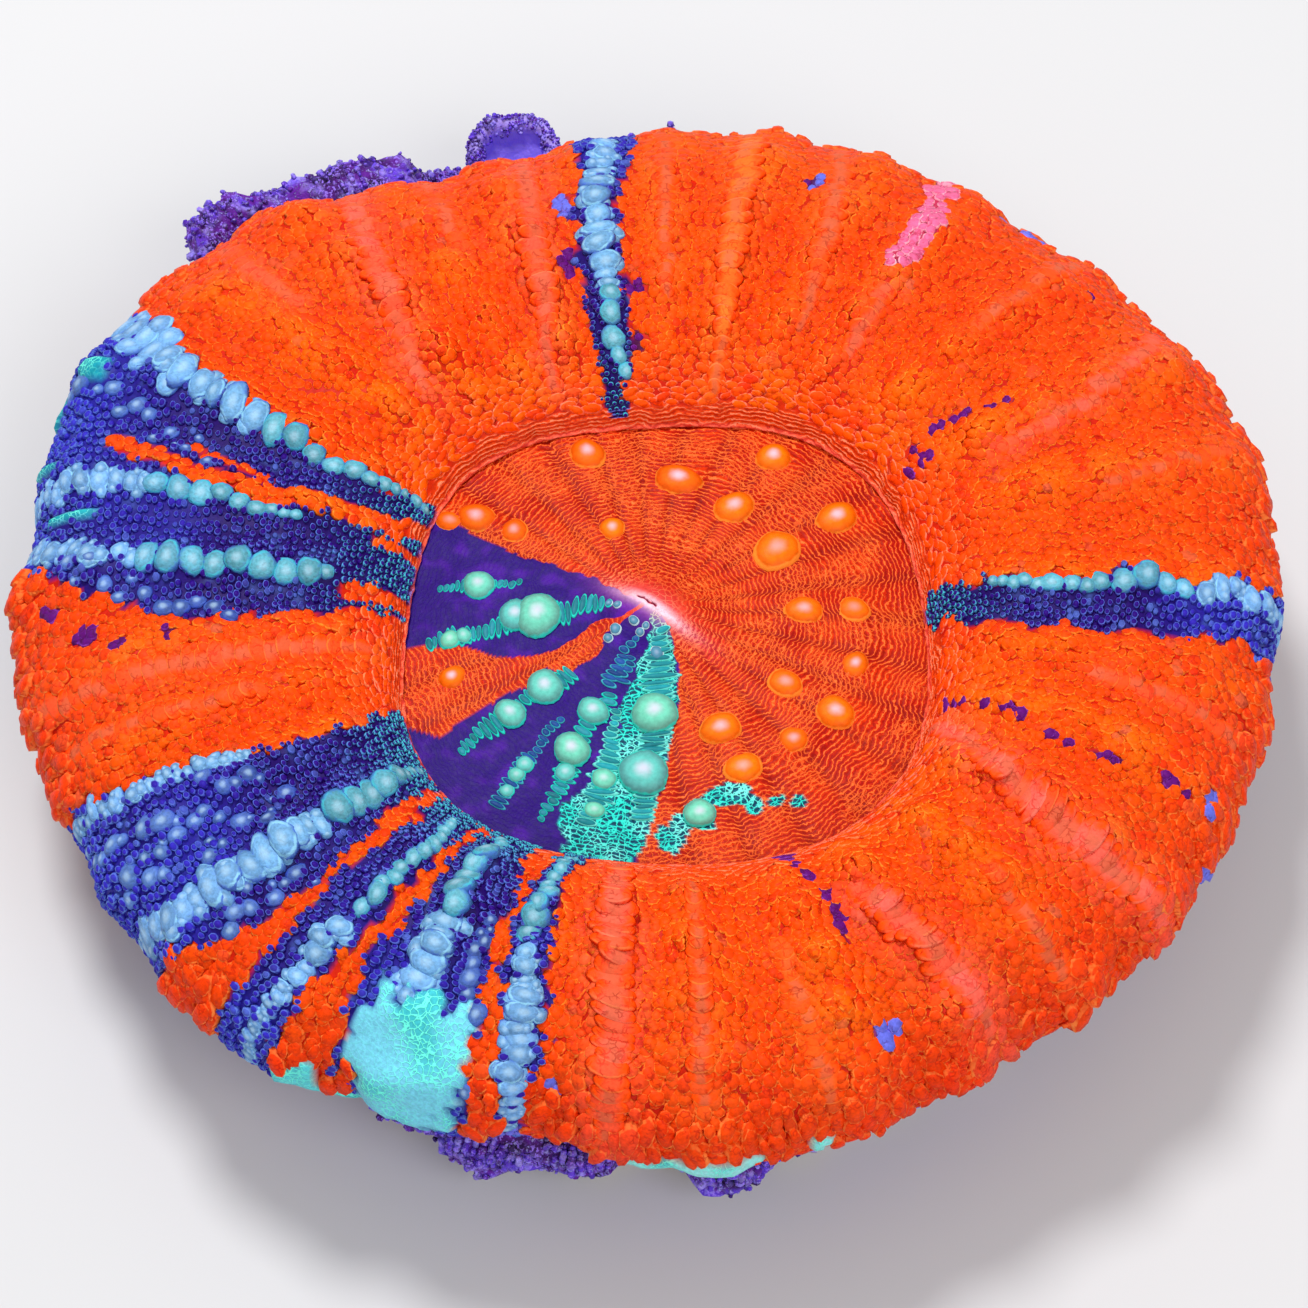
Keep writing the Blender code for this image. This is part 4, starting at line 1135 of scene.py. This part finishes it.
def mouth_shape(points):
    """The slit and the lips of the mouth as 0 to 1, and how far spots lie along and over the slit."""
    angle = radians(MOUTH_TURN)
    along_slit = points[..., 0] * cos(angle) + points[..., 1] * sin(angle)
    over_slit = -points[..., 0] * sin(angle) + points[..., 1] * cos(angle)
    broken = smooth(1.3 + 3.0 * rough(points + 9, 0.4))
    slit = bell(over_slit + 0.12 * rough(points, 0.35), 0.08)
    slit = slit * smooth((1.1 - np.abs(along_slit + 0.3)) / 0.3) * broken
    lips = bell(np.abs(over_slit) - 0.45, 0.35) * smooth((3.2 - np.abs(along_slit)) / 1.5)
    return slit, lips, along_slit, over_slit


def disc_colours(direction, distance, points, indigo, net, septum, mouth):
    """Colour of the disc's flesh and of the fine lines on it."""
    slit, _, along_slit, over_slit = mouth
    # core: the bright middle of a painted glow round the mouth; glow: the painted glow
    glow_core = bell(np.hypot((along_slit - 0.4) / 2.8, (over_slit + 0.15) / 0.5))
    glow = bell(np.hypot(along_slit / 4.2, over_slit / 1.4))
    streak = bell(turn_between(direction, -36), 9) * smooth(distance / 3) * smooth((9 - distance) / 5)

    def by_field(netted, dark, plain):
        return np.where(net[..., None], netted, np.where(indigo[..., None], dark, plain))

    base = blend(paint(194, 28, 0), paint(220, 54, 2), smooth(0.5 + rough(points, 3.0)))
    # darker along the septa, where the disc dips into furrows: painted shade
    base = blend(base, paint(150, 18, 10), 0.6 * septum * smooth(distance / 8))
    base = blend(base, paint(204, 40, 62), 0.7 * streak)
    purple = blend(paint(38, 0, 112), paint(66, 4, 144), smooth(1.6 * rough(points + 30, 1.2)))
    base = by_field(paint(10, 92, 120), purple, base)
    base = blend(base, paint(240, 84, 84), np.where(indigo | net, 0.0, 0.8 * glow))
    base = blend(base, paint(176, 70, 190), np.where(indigo | net, 0.7 * glow, 0.0))
    # line: colour of the wrinkle crests, a painted highlight
    line = blend(NEON_TEAL, paint(120, 244, 232), smooth(0.3 + 1.4 * rough(points, 2.0)))
    line = by_field(line, paint(60, 8, 136), paint(255, 112, 44))
    line = blend(line, paint(255, 150, 140), 0.8 * glow)
    # pale pink: the painted glow's core; dark red along the slit: painted shade in the mouth's opening
    for colour, share in ((paint(255, 206, 222), np.minimum(1, 1.3 * glow_core)),
                          (paint(150, 8, 60), np.clip(1.6 * slit, 0, 1))):
        base, line = blend(base, colour, share), blend(line, colour, share)
    return base, line


def add_oral_disc():
    rings, columns = 150, 410
    share = np.concatenate([np.linspace(0.006, 0.115, 28), np.linspace(0.12, 1, rings - 28)])
    direction, share = np.meshgrid(ring(columns), share)
    distance = share * (fold_radius(direction) + 0.5)
    points = disc_plain(direction, distance)
    phase = wrinkle_phase(direction, distance, points)
    indigo, net = disc_fields(direction, distance, points)
    strength = np.where(indigo, 0.15, 1.0) * smooth((distance - 1.5) / 2.5)
    crest = (0.5 + 0.5 * np.cos(tau * phase)) ** 1.6
    septum = (0.5 + 0.5 * np.cos(np.radians(direction) * SEPTA)) ** 3
    lift = strength * (0.1 * crest - 0.12 * septum * smooth(distance / 10)) + 0.1 * rough(points, 2.5)
    mouth = mouth_shape(points)
    lift = lift + vesicle_halo(points) - 0.2 * mouth[0] + 0.2 * mouth[1]
    points = points + np.array([0, 0, 1.0]) * lift[..., None]
    base, line = disc_colours(direction, distance, points, indigo, net, septum, mouth)
    loops = np.where(net, 1.0, np.where(indigo, 0.0, 0.55 * smooth(0.5 + 2.5 * rough(points + 20, 3.0))))
    below = FOLD_Z - 2.2
    skirt = [at(ring(columns), radius, below) for radius in (fold_radius(ring(columns)) + 0.5, 0.4)]
    flat = np.concatenate([points.reshape(-1, 3), *skirt, [points[0].mean(0), (0, 0, below)]])

    def full(values, end_value):
        values = values.reshape(rings * columns, -1)
        extra = np.broadcast_to(end_value, (2 * columns + 2, values.shape[1]))
        return np.concatenate([values, extra]).squeeze()

    new_piece("oral_disc", flat, capped_faces(rings + 2, columns), wrinkled_finish("disc_flesh"), {
        "tint": full(base, base[-1, 0]), "edge": full(line, line[-1, 0]), "phase": full(phase, 0.0),
        "wrinkled": full(strength, 0.0), "netted": full(loops, 0.0)})


def wrinkled_finish(name):
    """Fine bright wrinkle crests, a painted highlight, over valleys darkened as painted shade, and a bright
    net over the neon teal flesh, its lines a painted highlight too.
    """
    shader = Shader(name, 0.5, 0.1)
    fine, broad = shader.stray(shader.noise(0.45), 1.3), shader.stray(shader.noise(1.6, 1.0), 1.1)
    phase = shader.math("ADD", shader.attribute("phase"), shader.math("ADD", fine, broad))
    wave = shader.math("COSINE", shader.times(phase, tau))
    strength = shader.attribute("wrinkled")
    # crest: painted highlight on the wrinkles' crests
    crest = shader.times(shader.ramp(wave, 0.55, 0.95), strength)
    lines = shader.times(net_lines(shader, 0.52, 0.12, 0.04), shader.attribute("netted"))
    crest = shader.math("MAXIMUM", crest, lines)
    # valley: painted shade in the wrinkles' troughs
    valley = shader.times(shader.ramp(wave, -0.1, -0.95), strength)
    tint = mottled(shader, shader.attribute("tint"), 0.3, 0.2)
    colour = shader.mix(valley, tint, shader.shade(tint, (0.66, 0.34, 0.4)))
    colour = shader.mix(shader.times(crest, 0.92), colour, shader.attribute("edge"))
    shader.bump(shader.scaled(shader.noise(0.2, 3.0), 0.4, crest), 0.1, 0.7)
    return shader.finish(colour, (0.5, 0.2, 0.38))


def disc_domes():
    """The orange and teal vesicles, the pale rings and the rows of rings that lead to the teal
    vesicles: direction, distance, half width, half length, height, tint, rim and pale top of each; rim and
    pale top are painted highlights."""
    draw = np.random.default_rng(21)
    for direction, distance, radius in ORANGE_VESICLES:
        stretch = draw.uniform(0.9, 1.2)
        tint = blend(paint(250, 118, 0), paint(238, 88, 4), draw.random())
        yield (direction, distance, radius / stretch, radius * 0.92 * stretch, radius * VESICLE_FLATNESS,
               tint, paint(255, 150, 50), draw.uniform(0.3, 1.0))
    for direction, distance, radius in TEAL_VESICLES + SMALL_VESICLES:
        tint = blend(paint(112, 206, 176), paint(92, 190, 184), draw.random())
        yield (direction, distance, radius, radius * draw.uniform(0.85, 1.0), radius * VESICLE_FLATNESS,
               tint, NEON_TEAL, min(1, radius / 1.6))
    for direction, distance, radius in PALE_RINGS:
        yield (direction, distance, radius, radius * draw.uniform(0.8, 1.2), radius * 0.6,
               paint(80, 140, 168), paint(206, 236, 240), 0.3)
    for kind, points in DISC_ROWS:
        tint, rim = DISC_PAINTS[kind]
        distance = points[0][0]
        while distance <= points[-1][0]:
            width = read_off(points, distance, 2) * draw.uniform(0.8, 1.15)
            direction = read_off(points, distance) + np.degrees(draw.normal(0, 0.09) / distance)
            step = draw.uniform(0.4, 0.64)
            yield (direction, distance, width / 2, step * 0.54, 0.14 + 0.05 * width,
                   tint * draw.uniform(0.6, 1.2), rim * draw.uniform(0.8, 1.0), 0.0)
            distance += step


def add_disc_domes():
    direction, distance, *sizes, tint, rim, highlight_share = (np.array(part) for part in zip(*disc_domes()))
    frames = frames_on(disc_plain, direction, distance, 0.2)
    made, triangles, local = stamp(dome(18, 6, 0.5), frames, sizes, 0.1, 0.04, 8)
    new_piece("disc_vesicles", made, triangles, vesicle_finish(), dome_attributes(local, highlight_share, tint, rim))


def vesicle_finish():
    """Smooth domes with a thin bright rim and, on the vesicles, a pale top, both painted highlights, and
    sides darkened as painted shade.
    """
    shader = Shader("vesicle_flesh", 0.45, 0.12)
    distance, _, _, highlight_share = bead_place(shader)
    distance = shader.math("ADD", distance, shader.stray(shader.noise(0.6), 0.16))
    tint = mottled(shader, shader.attribute("tint"), 0.4, 0.16)
    # pale: painted highlight on the top; dark: painted shade on the sides
    pale, dark = shader.mix(0.7, tint, paint(222, 206, 232)), shader.shade(tint, (0.8, 0.64, 0.7))
    colour = shader.mix(shader.times(shader.ramp(distance, 0.5, 0.0), highlight_share), tint, pale)
    colour = shader.mix(shader.ramp(distance, 0.5, 0.9), colour, dark)
    thin = shader.scaled(highlight_share, -0.15, distance)
    # rim: a painted highlight
    rim = shader.times(shader.ramp(thin, 0.72, 0.82), shader.ramp(distance, 1.04, 0.98), 0.9)
    colour = shader.mix(rim, colour, shader.attribute("edge"))
    shader.bump(shader.noise(0.25), 0.04, 0.5)
    return shader.finish(colour)


# ---------------------------------------------------------------- skeleton and its crust


def ledge_share(direction):
    middle, half = (LEDGE_FROM + LEDGE_TO) / 2, (LEDGE_TO - LEDGE_FROM) / 2
    return smooth((half - np.abs(turn_between(direction, middle))) / LEDGE_EASE)


def tube_seat_share(direction):
    return smooth((TUBE_SEAT_SPREAD - np.abs(turn_between(direction, TUBE_DIRECTION))) / 3)


def hem_radius(direction):
    return pulled_radius(MARGIN_RADIUS - HEM_CURL, direction)


def underside_z(direction, radius):
    seat = pulled_radius(SEAT_RADIUS, direction)
    return SEAT_Z + np.clip((radius - seat) / (hem_radius(direction) - seat), 0, 1) * (HEM_Z - SEAT_Z)


def wall_section(direction):
    """The plain wall of the stony cup, from the top edge to the foot."""
    wall = WALL_RADIUS + lobes(direction, WALL_LOBES)
    rib = COSTA_HEIGHT * np.cos(np.radians(direction) * COSTAE)
    shoulder = underside_z(direction, wall - 1.0) - 1.3 * GAP
    return [
        (pulled_radius(SEAT_RADIUS - 3.0, direction), SEAT_Z - GAP), (wall - 1.0, shoulder),
        (wall - 0.2, shoulder - 0.7), (wall + rib * 0.6, shoulder - 1.8), (wall + rib, shoulder - 3.2),
        (wall + rib, 7.2), (wall - 0.4 + rib, 5.6), (wall - 1.0 + rib, 3.8), (FOOT_RADIUS + 0.8 + rib, 1.8),
        (FOOT_RADIUS, 0),
    ]


def ledge_section(direction):
    """The crust ledge: it passes under the flesh, then rises behind it."""
    flesh = margin_radius(direction)
    reach = np.maximum(LEDGE_REACH + lobes(direction, LEDGE_LOBES), flesh + 3.5)
    dip = tube_seat_share(direction)
    inner_z = LEDGE_TOP_Z - 1.2 + dip * (TUBE_SEAT_Z - LEDGE_TOP_Z + 1.2)
    outer_z = LEDGE_TOP_Z + dip * (TUBE_SEAT_Z - LEDGE_TOP_Z)
    return [
        (pulled_radius(SEAT_RADIUS - 3.0, direction), SEAT_Z - GAP), (hem_radius(direction), HEM_Z - 2 * GAP),
        (flesh - 0.5, HEM_Z - 3 * GAP), (flesh + 1.2, inner_z),
        ((flesh + reach) / 2, (inner_z + outer_z) / 2), (reach - 1.2, outer_z), (reach, outer_z - 1.8),
        (reach - 1.6, outer_z * 0.5), (reach - 6.0, outer_z * 0.24), (FOOT_RADIUS + 4.0, 0),
    ]


def skeleton_rows(direction):
    """The ten rows of the skeleton's side with its coarse lumps, as an array rows x columns x 3."""
    share = ledge_share(direction)
    made = []
    for row, (plain, ledge) in enumerate(zip(wall_section(direction), ledge_section(direction))):
        radius, height = (a + (b - a) * share for a, b in zip(plain, ledge))
        place = at(direction, radius, height)
        lump = rough(place, CRUST_GRAIN) + 0.5 * rough(place * 2.3, CRUST_GRAIN)
        lump = lump * CRUST_LUMP * (1 - tube_seat_share(direction))
        if row == 2:
            height = height - np.abs(lump) * 0.4
        elif row == 3:
            radius, height = radius + np.abs(lump), height - np.abs(lump) * 0.3
        elif row not in (0, 1, 9):
            radius = radius + lump * (0.6 + share)
            height = height + lump * (0.3 + share if row in (4, 5) else 0.3)
        if row in (4, 5, 6):
            height = height + lobes(direction, CRUST_HUMPS)
        made.append(at(direction, radius, height))
    return np.array(made)


def over_rows(fine, start, full, fade, end):
    """1 between two of the skeleton's rows, easing to 0 outside them."""
    return (smooth((fine - start) / (full - start)) * smooth((end - fine) / (end - fade)))[:, None]


def crust_grid(direction, fine):
    """The skeleton's side as a fine grid with nodules, and how far the nodules stand out."""
    coarse = skeleton_rows(direction)
    before = np.minimum(fine.astype(int), len(coarse) - 2)
    share = (fine - before)[:, None, None]
    share = smooth(share) * 0.4 + share * 0.6
    points = coarse[before] * (1 - share) + coarse[before + 1] * share
    nodules = np.clip(rough(points, 1.7) + 0.15, 0, None) * 1.3 + rough(points, 0.8) * 0.4
    nodules = nodules * over_rows(fine, 1.6, 2.8, 8.5, 9) * (1 - 0.75 * tube_seat_share(direction))
    radius = np.hypot(points[..., 0:1], points[..., 1:2])
    points = points + unit(points * (1, 1, 0) + np.array([0, 0, 0.5]) * radius) * nodules[..., None]
    points[..., 2] = np.maximum(points[..., 2], 0)
    points[-1, :, 2] = 0
    return points, nodules


def add_skeleton_crust():
    """The stony cup with its crust, its grains and the beads of the fringe. Gives back the finish."""
    columns, rows = 400, 80
    direction, fine = ring(columns), np.linspace(0, 9, rows)
    points, nodules = crust_grid(direction, fine)
    flat = np.concatenate([points.reshape(-1, 3), [(0, 0, SEAT_Z - GAP), (0, 0, 0)]])
    bare = np.repeat(smooth((fine - 6.6) / 2.0), columns)
    attributes = {"raised": np.append(nodules, (0, 0)), "bare": np.append(bare, (0, 1))}
    finish = crust_finish()
    new_piece("skeleton_crust", flat, capped_faces(rows, columns), finish, attributes, STONE)
    patchy = smooth(0.5 + 1.6 * rough(points, 3.5))
    weight = over_rows(fine, 2.2, 3.0, 5.4, 7.4) * (0.1 + patchy) * (0.5 + 1.5 * ledge_share(direction))
    add_grains("crust_grains", points, weight, 4000, (0.18, 0.46), finish, 41, STONE)
    fringe = smooth((FRINGE_SPREAD - np.abs(turn_between(direction, FRINGE_DIRECTION))) / 6)
    weight = over_rows(fine, 1.6, 2.4, 4.4, 6.4) * (0.2 + patchy) * fringe
    add_grains("fringe_beads", points, weight, 1500, (0.3, 0.55), finish, 47, STONE)
    return finish


def add_grains(name, points, weight, count, sizes, finish, seed, owner):
    """Small round grains stuck to a grid surface, more of them where weight is high."""
    draw = np.random.default_rng(seed)
    across = np.roll(points, -1, 1) - np.roll(points, 1, 1)
    normals = unit(np.cross(across, -np.gradient(points, axis=0)) + (0, 0, 1e-9))
    chosen = draw.choice(weight.size, count, replace=False, p=weight.ravel() / weight.sum())
    place, normal = points.reshape(-1, 3)[chosen], normals.reshape(-1, 3)[chosen]
    sideways = unit(np.cross(normal, draw.normal(0, 1, place.shape)))
    frames = place, sideways, np.cross(normal, sideways), normal
    radii = draw.uniform(*sizes, count) * (0.8 + 0.5 * draw.random(count) ** 3)
    grain = dome(5, 2, 0.6)
    sizes = radii, radii * draw.uniform(0.7, 1.1, count), radii * draw.uniform(0.7, 1.3, count)
    made, triangles, _ = stamp(grain, frames, sizes, 0.0, 0.08)
    raised = np.repeat(draw.uniform(0.2, 1.0, count), len(grain[0]))
    attributes = {"raised": raised, "bare": np.zeros(len(made))}
    new_piece(name, made, triangles, finish, attributes, owner)


def cut_gaps(shader):
    """The gaps between the septa, as 0 to 1, on the flat cut underneath."""
    x, y, z = shader.add("SeparateXYZ", i0=shader.place()).node.outputs
    squares = shader.math("ADD", shader.math("POWER", x, 2.0), shader.math("POWER", y, 2.0))
    radius = shader.math("SQRT", squares)
    angle = shader.math("ADD", shader.math("ARCTAN2", y, x), shader.stray(shader.noise(5.0), 0.16))
    inner, outer = (shader.math("COSINE", shader.times(angle, count)) for count in (24, 48))
    outer = shader.times(shader.ramp(radius, 14 * MM, 20 * MM), outer)
    between_septa = shader.ramp(shader.math("ADD", shader.times(inner, -1.0), outer), 0.0, 0.7)
    inside = shader.band(radius, 5 * MM, 8 * MM, 34 * MM, 35.5 * MM)
    under = shader.ramp(z, 0.12 * MM, 0.02 * MM)
    return shader.times(between_septa, shader.patches(1.6, 2.0, 0.36, 0.5), inside, under)


def crust_finish():
    """Violet coralline crust with lilac specks, lighter on raised nodules and grains as painted highlight,
    thinning to pale stone at the cut, with septa below.
    """
    shader = Shader("coralline_crust", 0.75, 0.3)
    broad = shader.noise(3.0, 3.0)
    deep = shader.mix(shader.ramp(broad, 0.35, 0.62), paint(34, 4, 66), paint(100, 20, 158))
    light = shader.mix(shader.patches(1.1, 2.0, 0.42, 0.66), paint(100, 62, 222), paint(164, 150, 250))
    # lighter where raised: painted highlight on the nodules and grains
    colour = shader.mix(shader.ramp(shader.attribute("raised"), 0.15, 0.8), deep, light)
    specks = shader.patches(0.42, 2.0, 0.57, 0.68)
    colour = shader.mix(shader.times(specks, 0.75), colour, paint(168, 158, 244))
    grouped = shader.patches(2.4, 2.0, 0.42, 0.54)
    fine_specks = shader.times(shader.patches(0.24, 1.0, 0.54, 0.6), grouped, 0.85)
    colour = shader.mix(fine_specks, colour, paint(156, 122, 252))
    wear = shader.math("ADD", shader.attribute("bare"), shader.scaled(broad, 0.9, -0.5))
    gap = cut_gaps(shader)
    stone = shader.mix(shader.noise(0.8, 3.0), paint(176, 160, 140), paint(222, 210, 188))
    # brown in the gaps between the septa: painted shade
    stone = shader.mix(shader.times(gap, 0.75), stone, paint(112, 92, 74))
    colour = shader.mix(shader.ramp(wear, 0.55, 0.8), colour, stone)
    height = shader.math("ADD", shader.noise(0.5, 4.0), shader.times(specks, 0.4))
    shader.bump(shader.math("SUBTRACT", height, gap), 0.5, 0.9)
    return shader.finish(colour, (0.7, 0.3, 0.55))


# ---------------------------------------------------------------- worm tube


def tube_finish():
    shader = Shader("worm_tube_crust", 0.6, 0.3)
    grainy = shader.noise(0.5, 3.0)
    colour = shader.mix(shader.ramp(grainy, 0.35, 0.65), paint(84, 26, 150), paint(150, 120, 236))
    colour = shader.mix(shader.attribute("inside"), colour, paint(134, 112, 232))
    colour = shader.mix(shader.times(shader.attribute("rim"), 0.6), colour, paint(186, 172, 246))
    shader.bump(grainy, 0.2, 0.7)
    return shader.finish(colour)


def tube_wall(direction, radius, height, outside):
    """Points of the tube's upright wall with its lumps and grains; outside is 0 to 1."""
    lump = rough(at(direction, 2.0, height / 3.0), 1.0) * 0.45 * smooth(height / 2)
    spots = at(direction, radius, height)
    grain = 0.16 * rough(spots, 0.55) + 0.22 * np.clip(rough(spots, 1.1), 0, None)
    grain = grain * (0.15 + 0.85 * outside) * smooth(height / 1.0)
    wide = 0.35 * outside * smooth(height / 2)
    return at(direction, radius + wide + lump + grain, height + lump * 0.6 + grain * 0.6)


def add_worm_tube(crust):
    columns, rows = 72, 60
    inner, top, bottom = TUBE_RADIUS - TUBE_WALL, TUBE_HEIGHT, TUBE_HEIGHT - TUBE_DEPTH
    profile = np.array([    # (radius, height) from the floor inside, over the rim, to the foot
        (inner * 0.7, bottom + 0.3), (inner, top - TUBE_DEPTH * 0.6), (inner + 0.1, top - 0.4),
        (TUBE_RADIUS - TUBE_WALL / 2, top), (TUBE_RADIUS, top - 0.5), (TUBE_RADIUS - 0.1, top - 2.0),
        (TUBE_FOOT_RADIUS, 0),
    ])
    travel = np.concatenate([[0], np.cumsum(np.hypot(*np.diff(profile, axis=0).T))])
    fine = np.linspace(0, travel[-1], rows)
    radius, height = (np.interp(fine, travel, part)[:, None] for part in profile.T)
    points = tube_wall(ring(columns), radius, height, smooth((fine - 2.6) / 1.2)[:, None])
    lean = at(TUBE_LEAN_TOWARD, tan(radians(TUBE_LEAN)), 0.0)
    foot = at(TUBE_DIRECTION, TUBE_DISTANCE, TUBE_SEAT_Z + GAP)
    points = points + lean * points[..., 2:]
    ends = [lean * bottom + (0, 0, bottom), (0, 0, 0)]
    flat = np.concatenate([points.reshape(-1, 3), ends]) + foot
    rim = bell(fine - travel[3], 0.8)
    inside = 1 - smooth((fine - 2.4) / 0.8)
    attributes = {"rim": np.append(np.repeat(rim, columns), (0, 0)),
                  "inside": np.append(np.repeat(inside, columns), (1, 0))}
    new_piece("worm_tube_shell", flat, capped_faces(rows, columns), tube_finish(), attributes, TUBE)
    end = fine[-1]
    weight = 0.25 * over_rows(fine, 3.4, 4.4, end - 1.1, end - 0.6) + 1.2 * rim[:, None]
    weight = np.repeat(weight, columns, 1)
    add_grains("tube_grains", points + foot, weight, 900, (0.14, 0.28), crust, 43, TUBE)


# ---------------------------------------------------------------- floor, lights, camera


def add_floor():
    bpy.ops.mesh.primitive_plane_add(size=6.0, location=(0, 0, 0))
    floor = bpy.context.active_object
    floor.name = "floor"
    shader = Shader("pale_floor", 0.7, 0.2)
    floor.data.materials.append(shader.finish((0.62, 0.62, 0.63)))


def add_area_light(name, place, size, power):
    light = bpy.data.lights.new(name, "AREA")
    light.shape, light.size, light.energy = "DISK", size, power
    made = bpy.data.objects.new(name, light)
    made.location = place
    made.rotation_euler = (Vector((0, 0, 0.015)) - Vector(place)).to_track_quat("-Z", "Y").to_euler()
    bpy.context.scene.collection.objects.link(made)


def add_studio():
    world = bpy.data.worlds.new("studio")
    world.use_nodes = True
    world.node_tree.nodes["Background"].inputs["Color"].default_value = (1, 1, 1, 1)
    world.node_tree.nodes["Background"].inputs["Strength"].default_value = 0.55
    bpy.context.scene.world = world
    add_area_light("key", (-0.14, 0.26, 0.62), 0.18, 3.4)
    add_area_light("fill", (0.3, -0.5, 0.6), 0.5, 2.6)


def add_camera():
    elevation, distance = radians(58), 0.352
    back = Vector((0, -cos(elevation), sin(elevation)))
    camera = bpy.data.cameras.new("camera")
    camera.lens, camera.sensor_width = 120, 36
    camera.clip_start, camera.clip_end = 0.01, 20
    made = bpy.data.objects.new("camera", camera)
    made.location = Vector((0.0003, 0.0001, 0.015)) + back * distance
    made.rotation_euler = (-back).to_track_quat("-Z", "Y").to_euler()
    bpy.context.scene.collection.objects.link(made)
    bpy.context.scene.camera = made


def main():
    bpy.context.scene.view_settings.view_transform = "Standard"
    add_camera()
    add_studio()
    add_floor()
    bubbles, kinds = bubble_spots()
    bars, colours, shares = ridge_spots()
    covering = np.concatenate([bubbles, bars * (1, 1, 0.85, 0.85)])
    add_mantle_skin()
    add_scales(covering)
    add_papillae(covering)
    add_ray_bubbles(bubbles, kinds)
    add_ridge_bars(bars, colours, shares)
    add_oral_disc()
    add_disc_domes()
    crust = add_skeleton_crust()
    add_worm_tube(crust)


main()
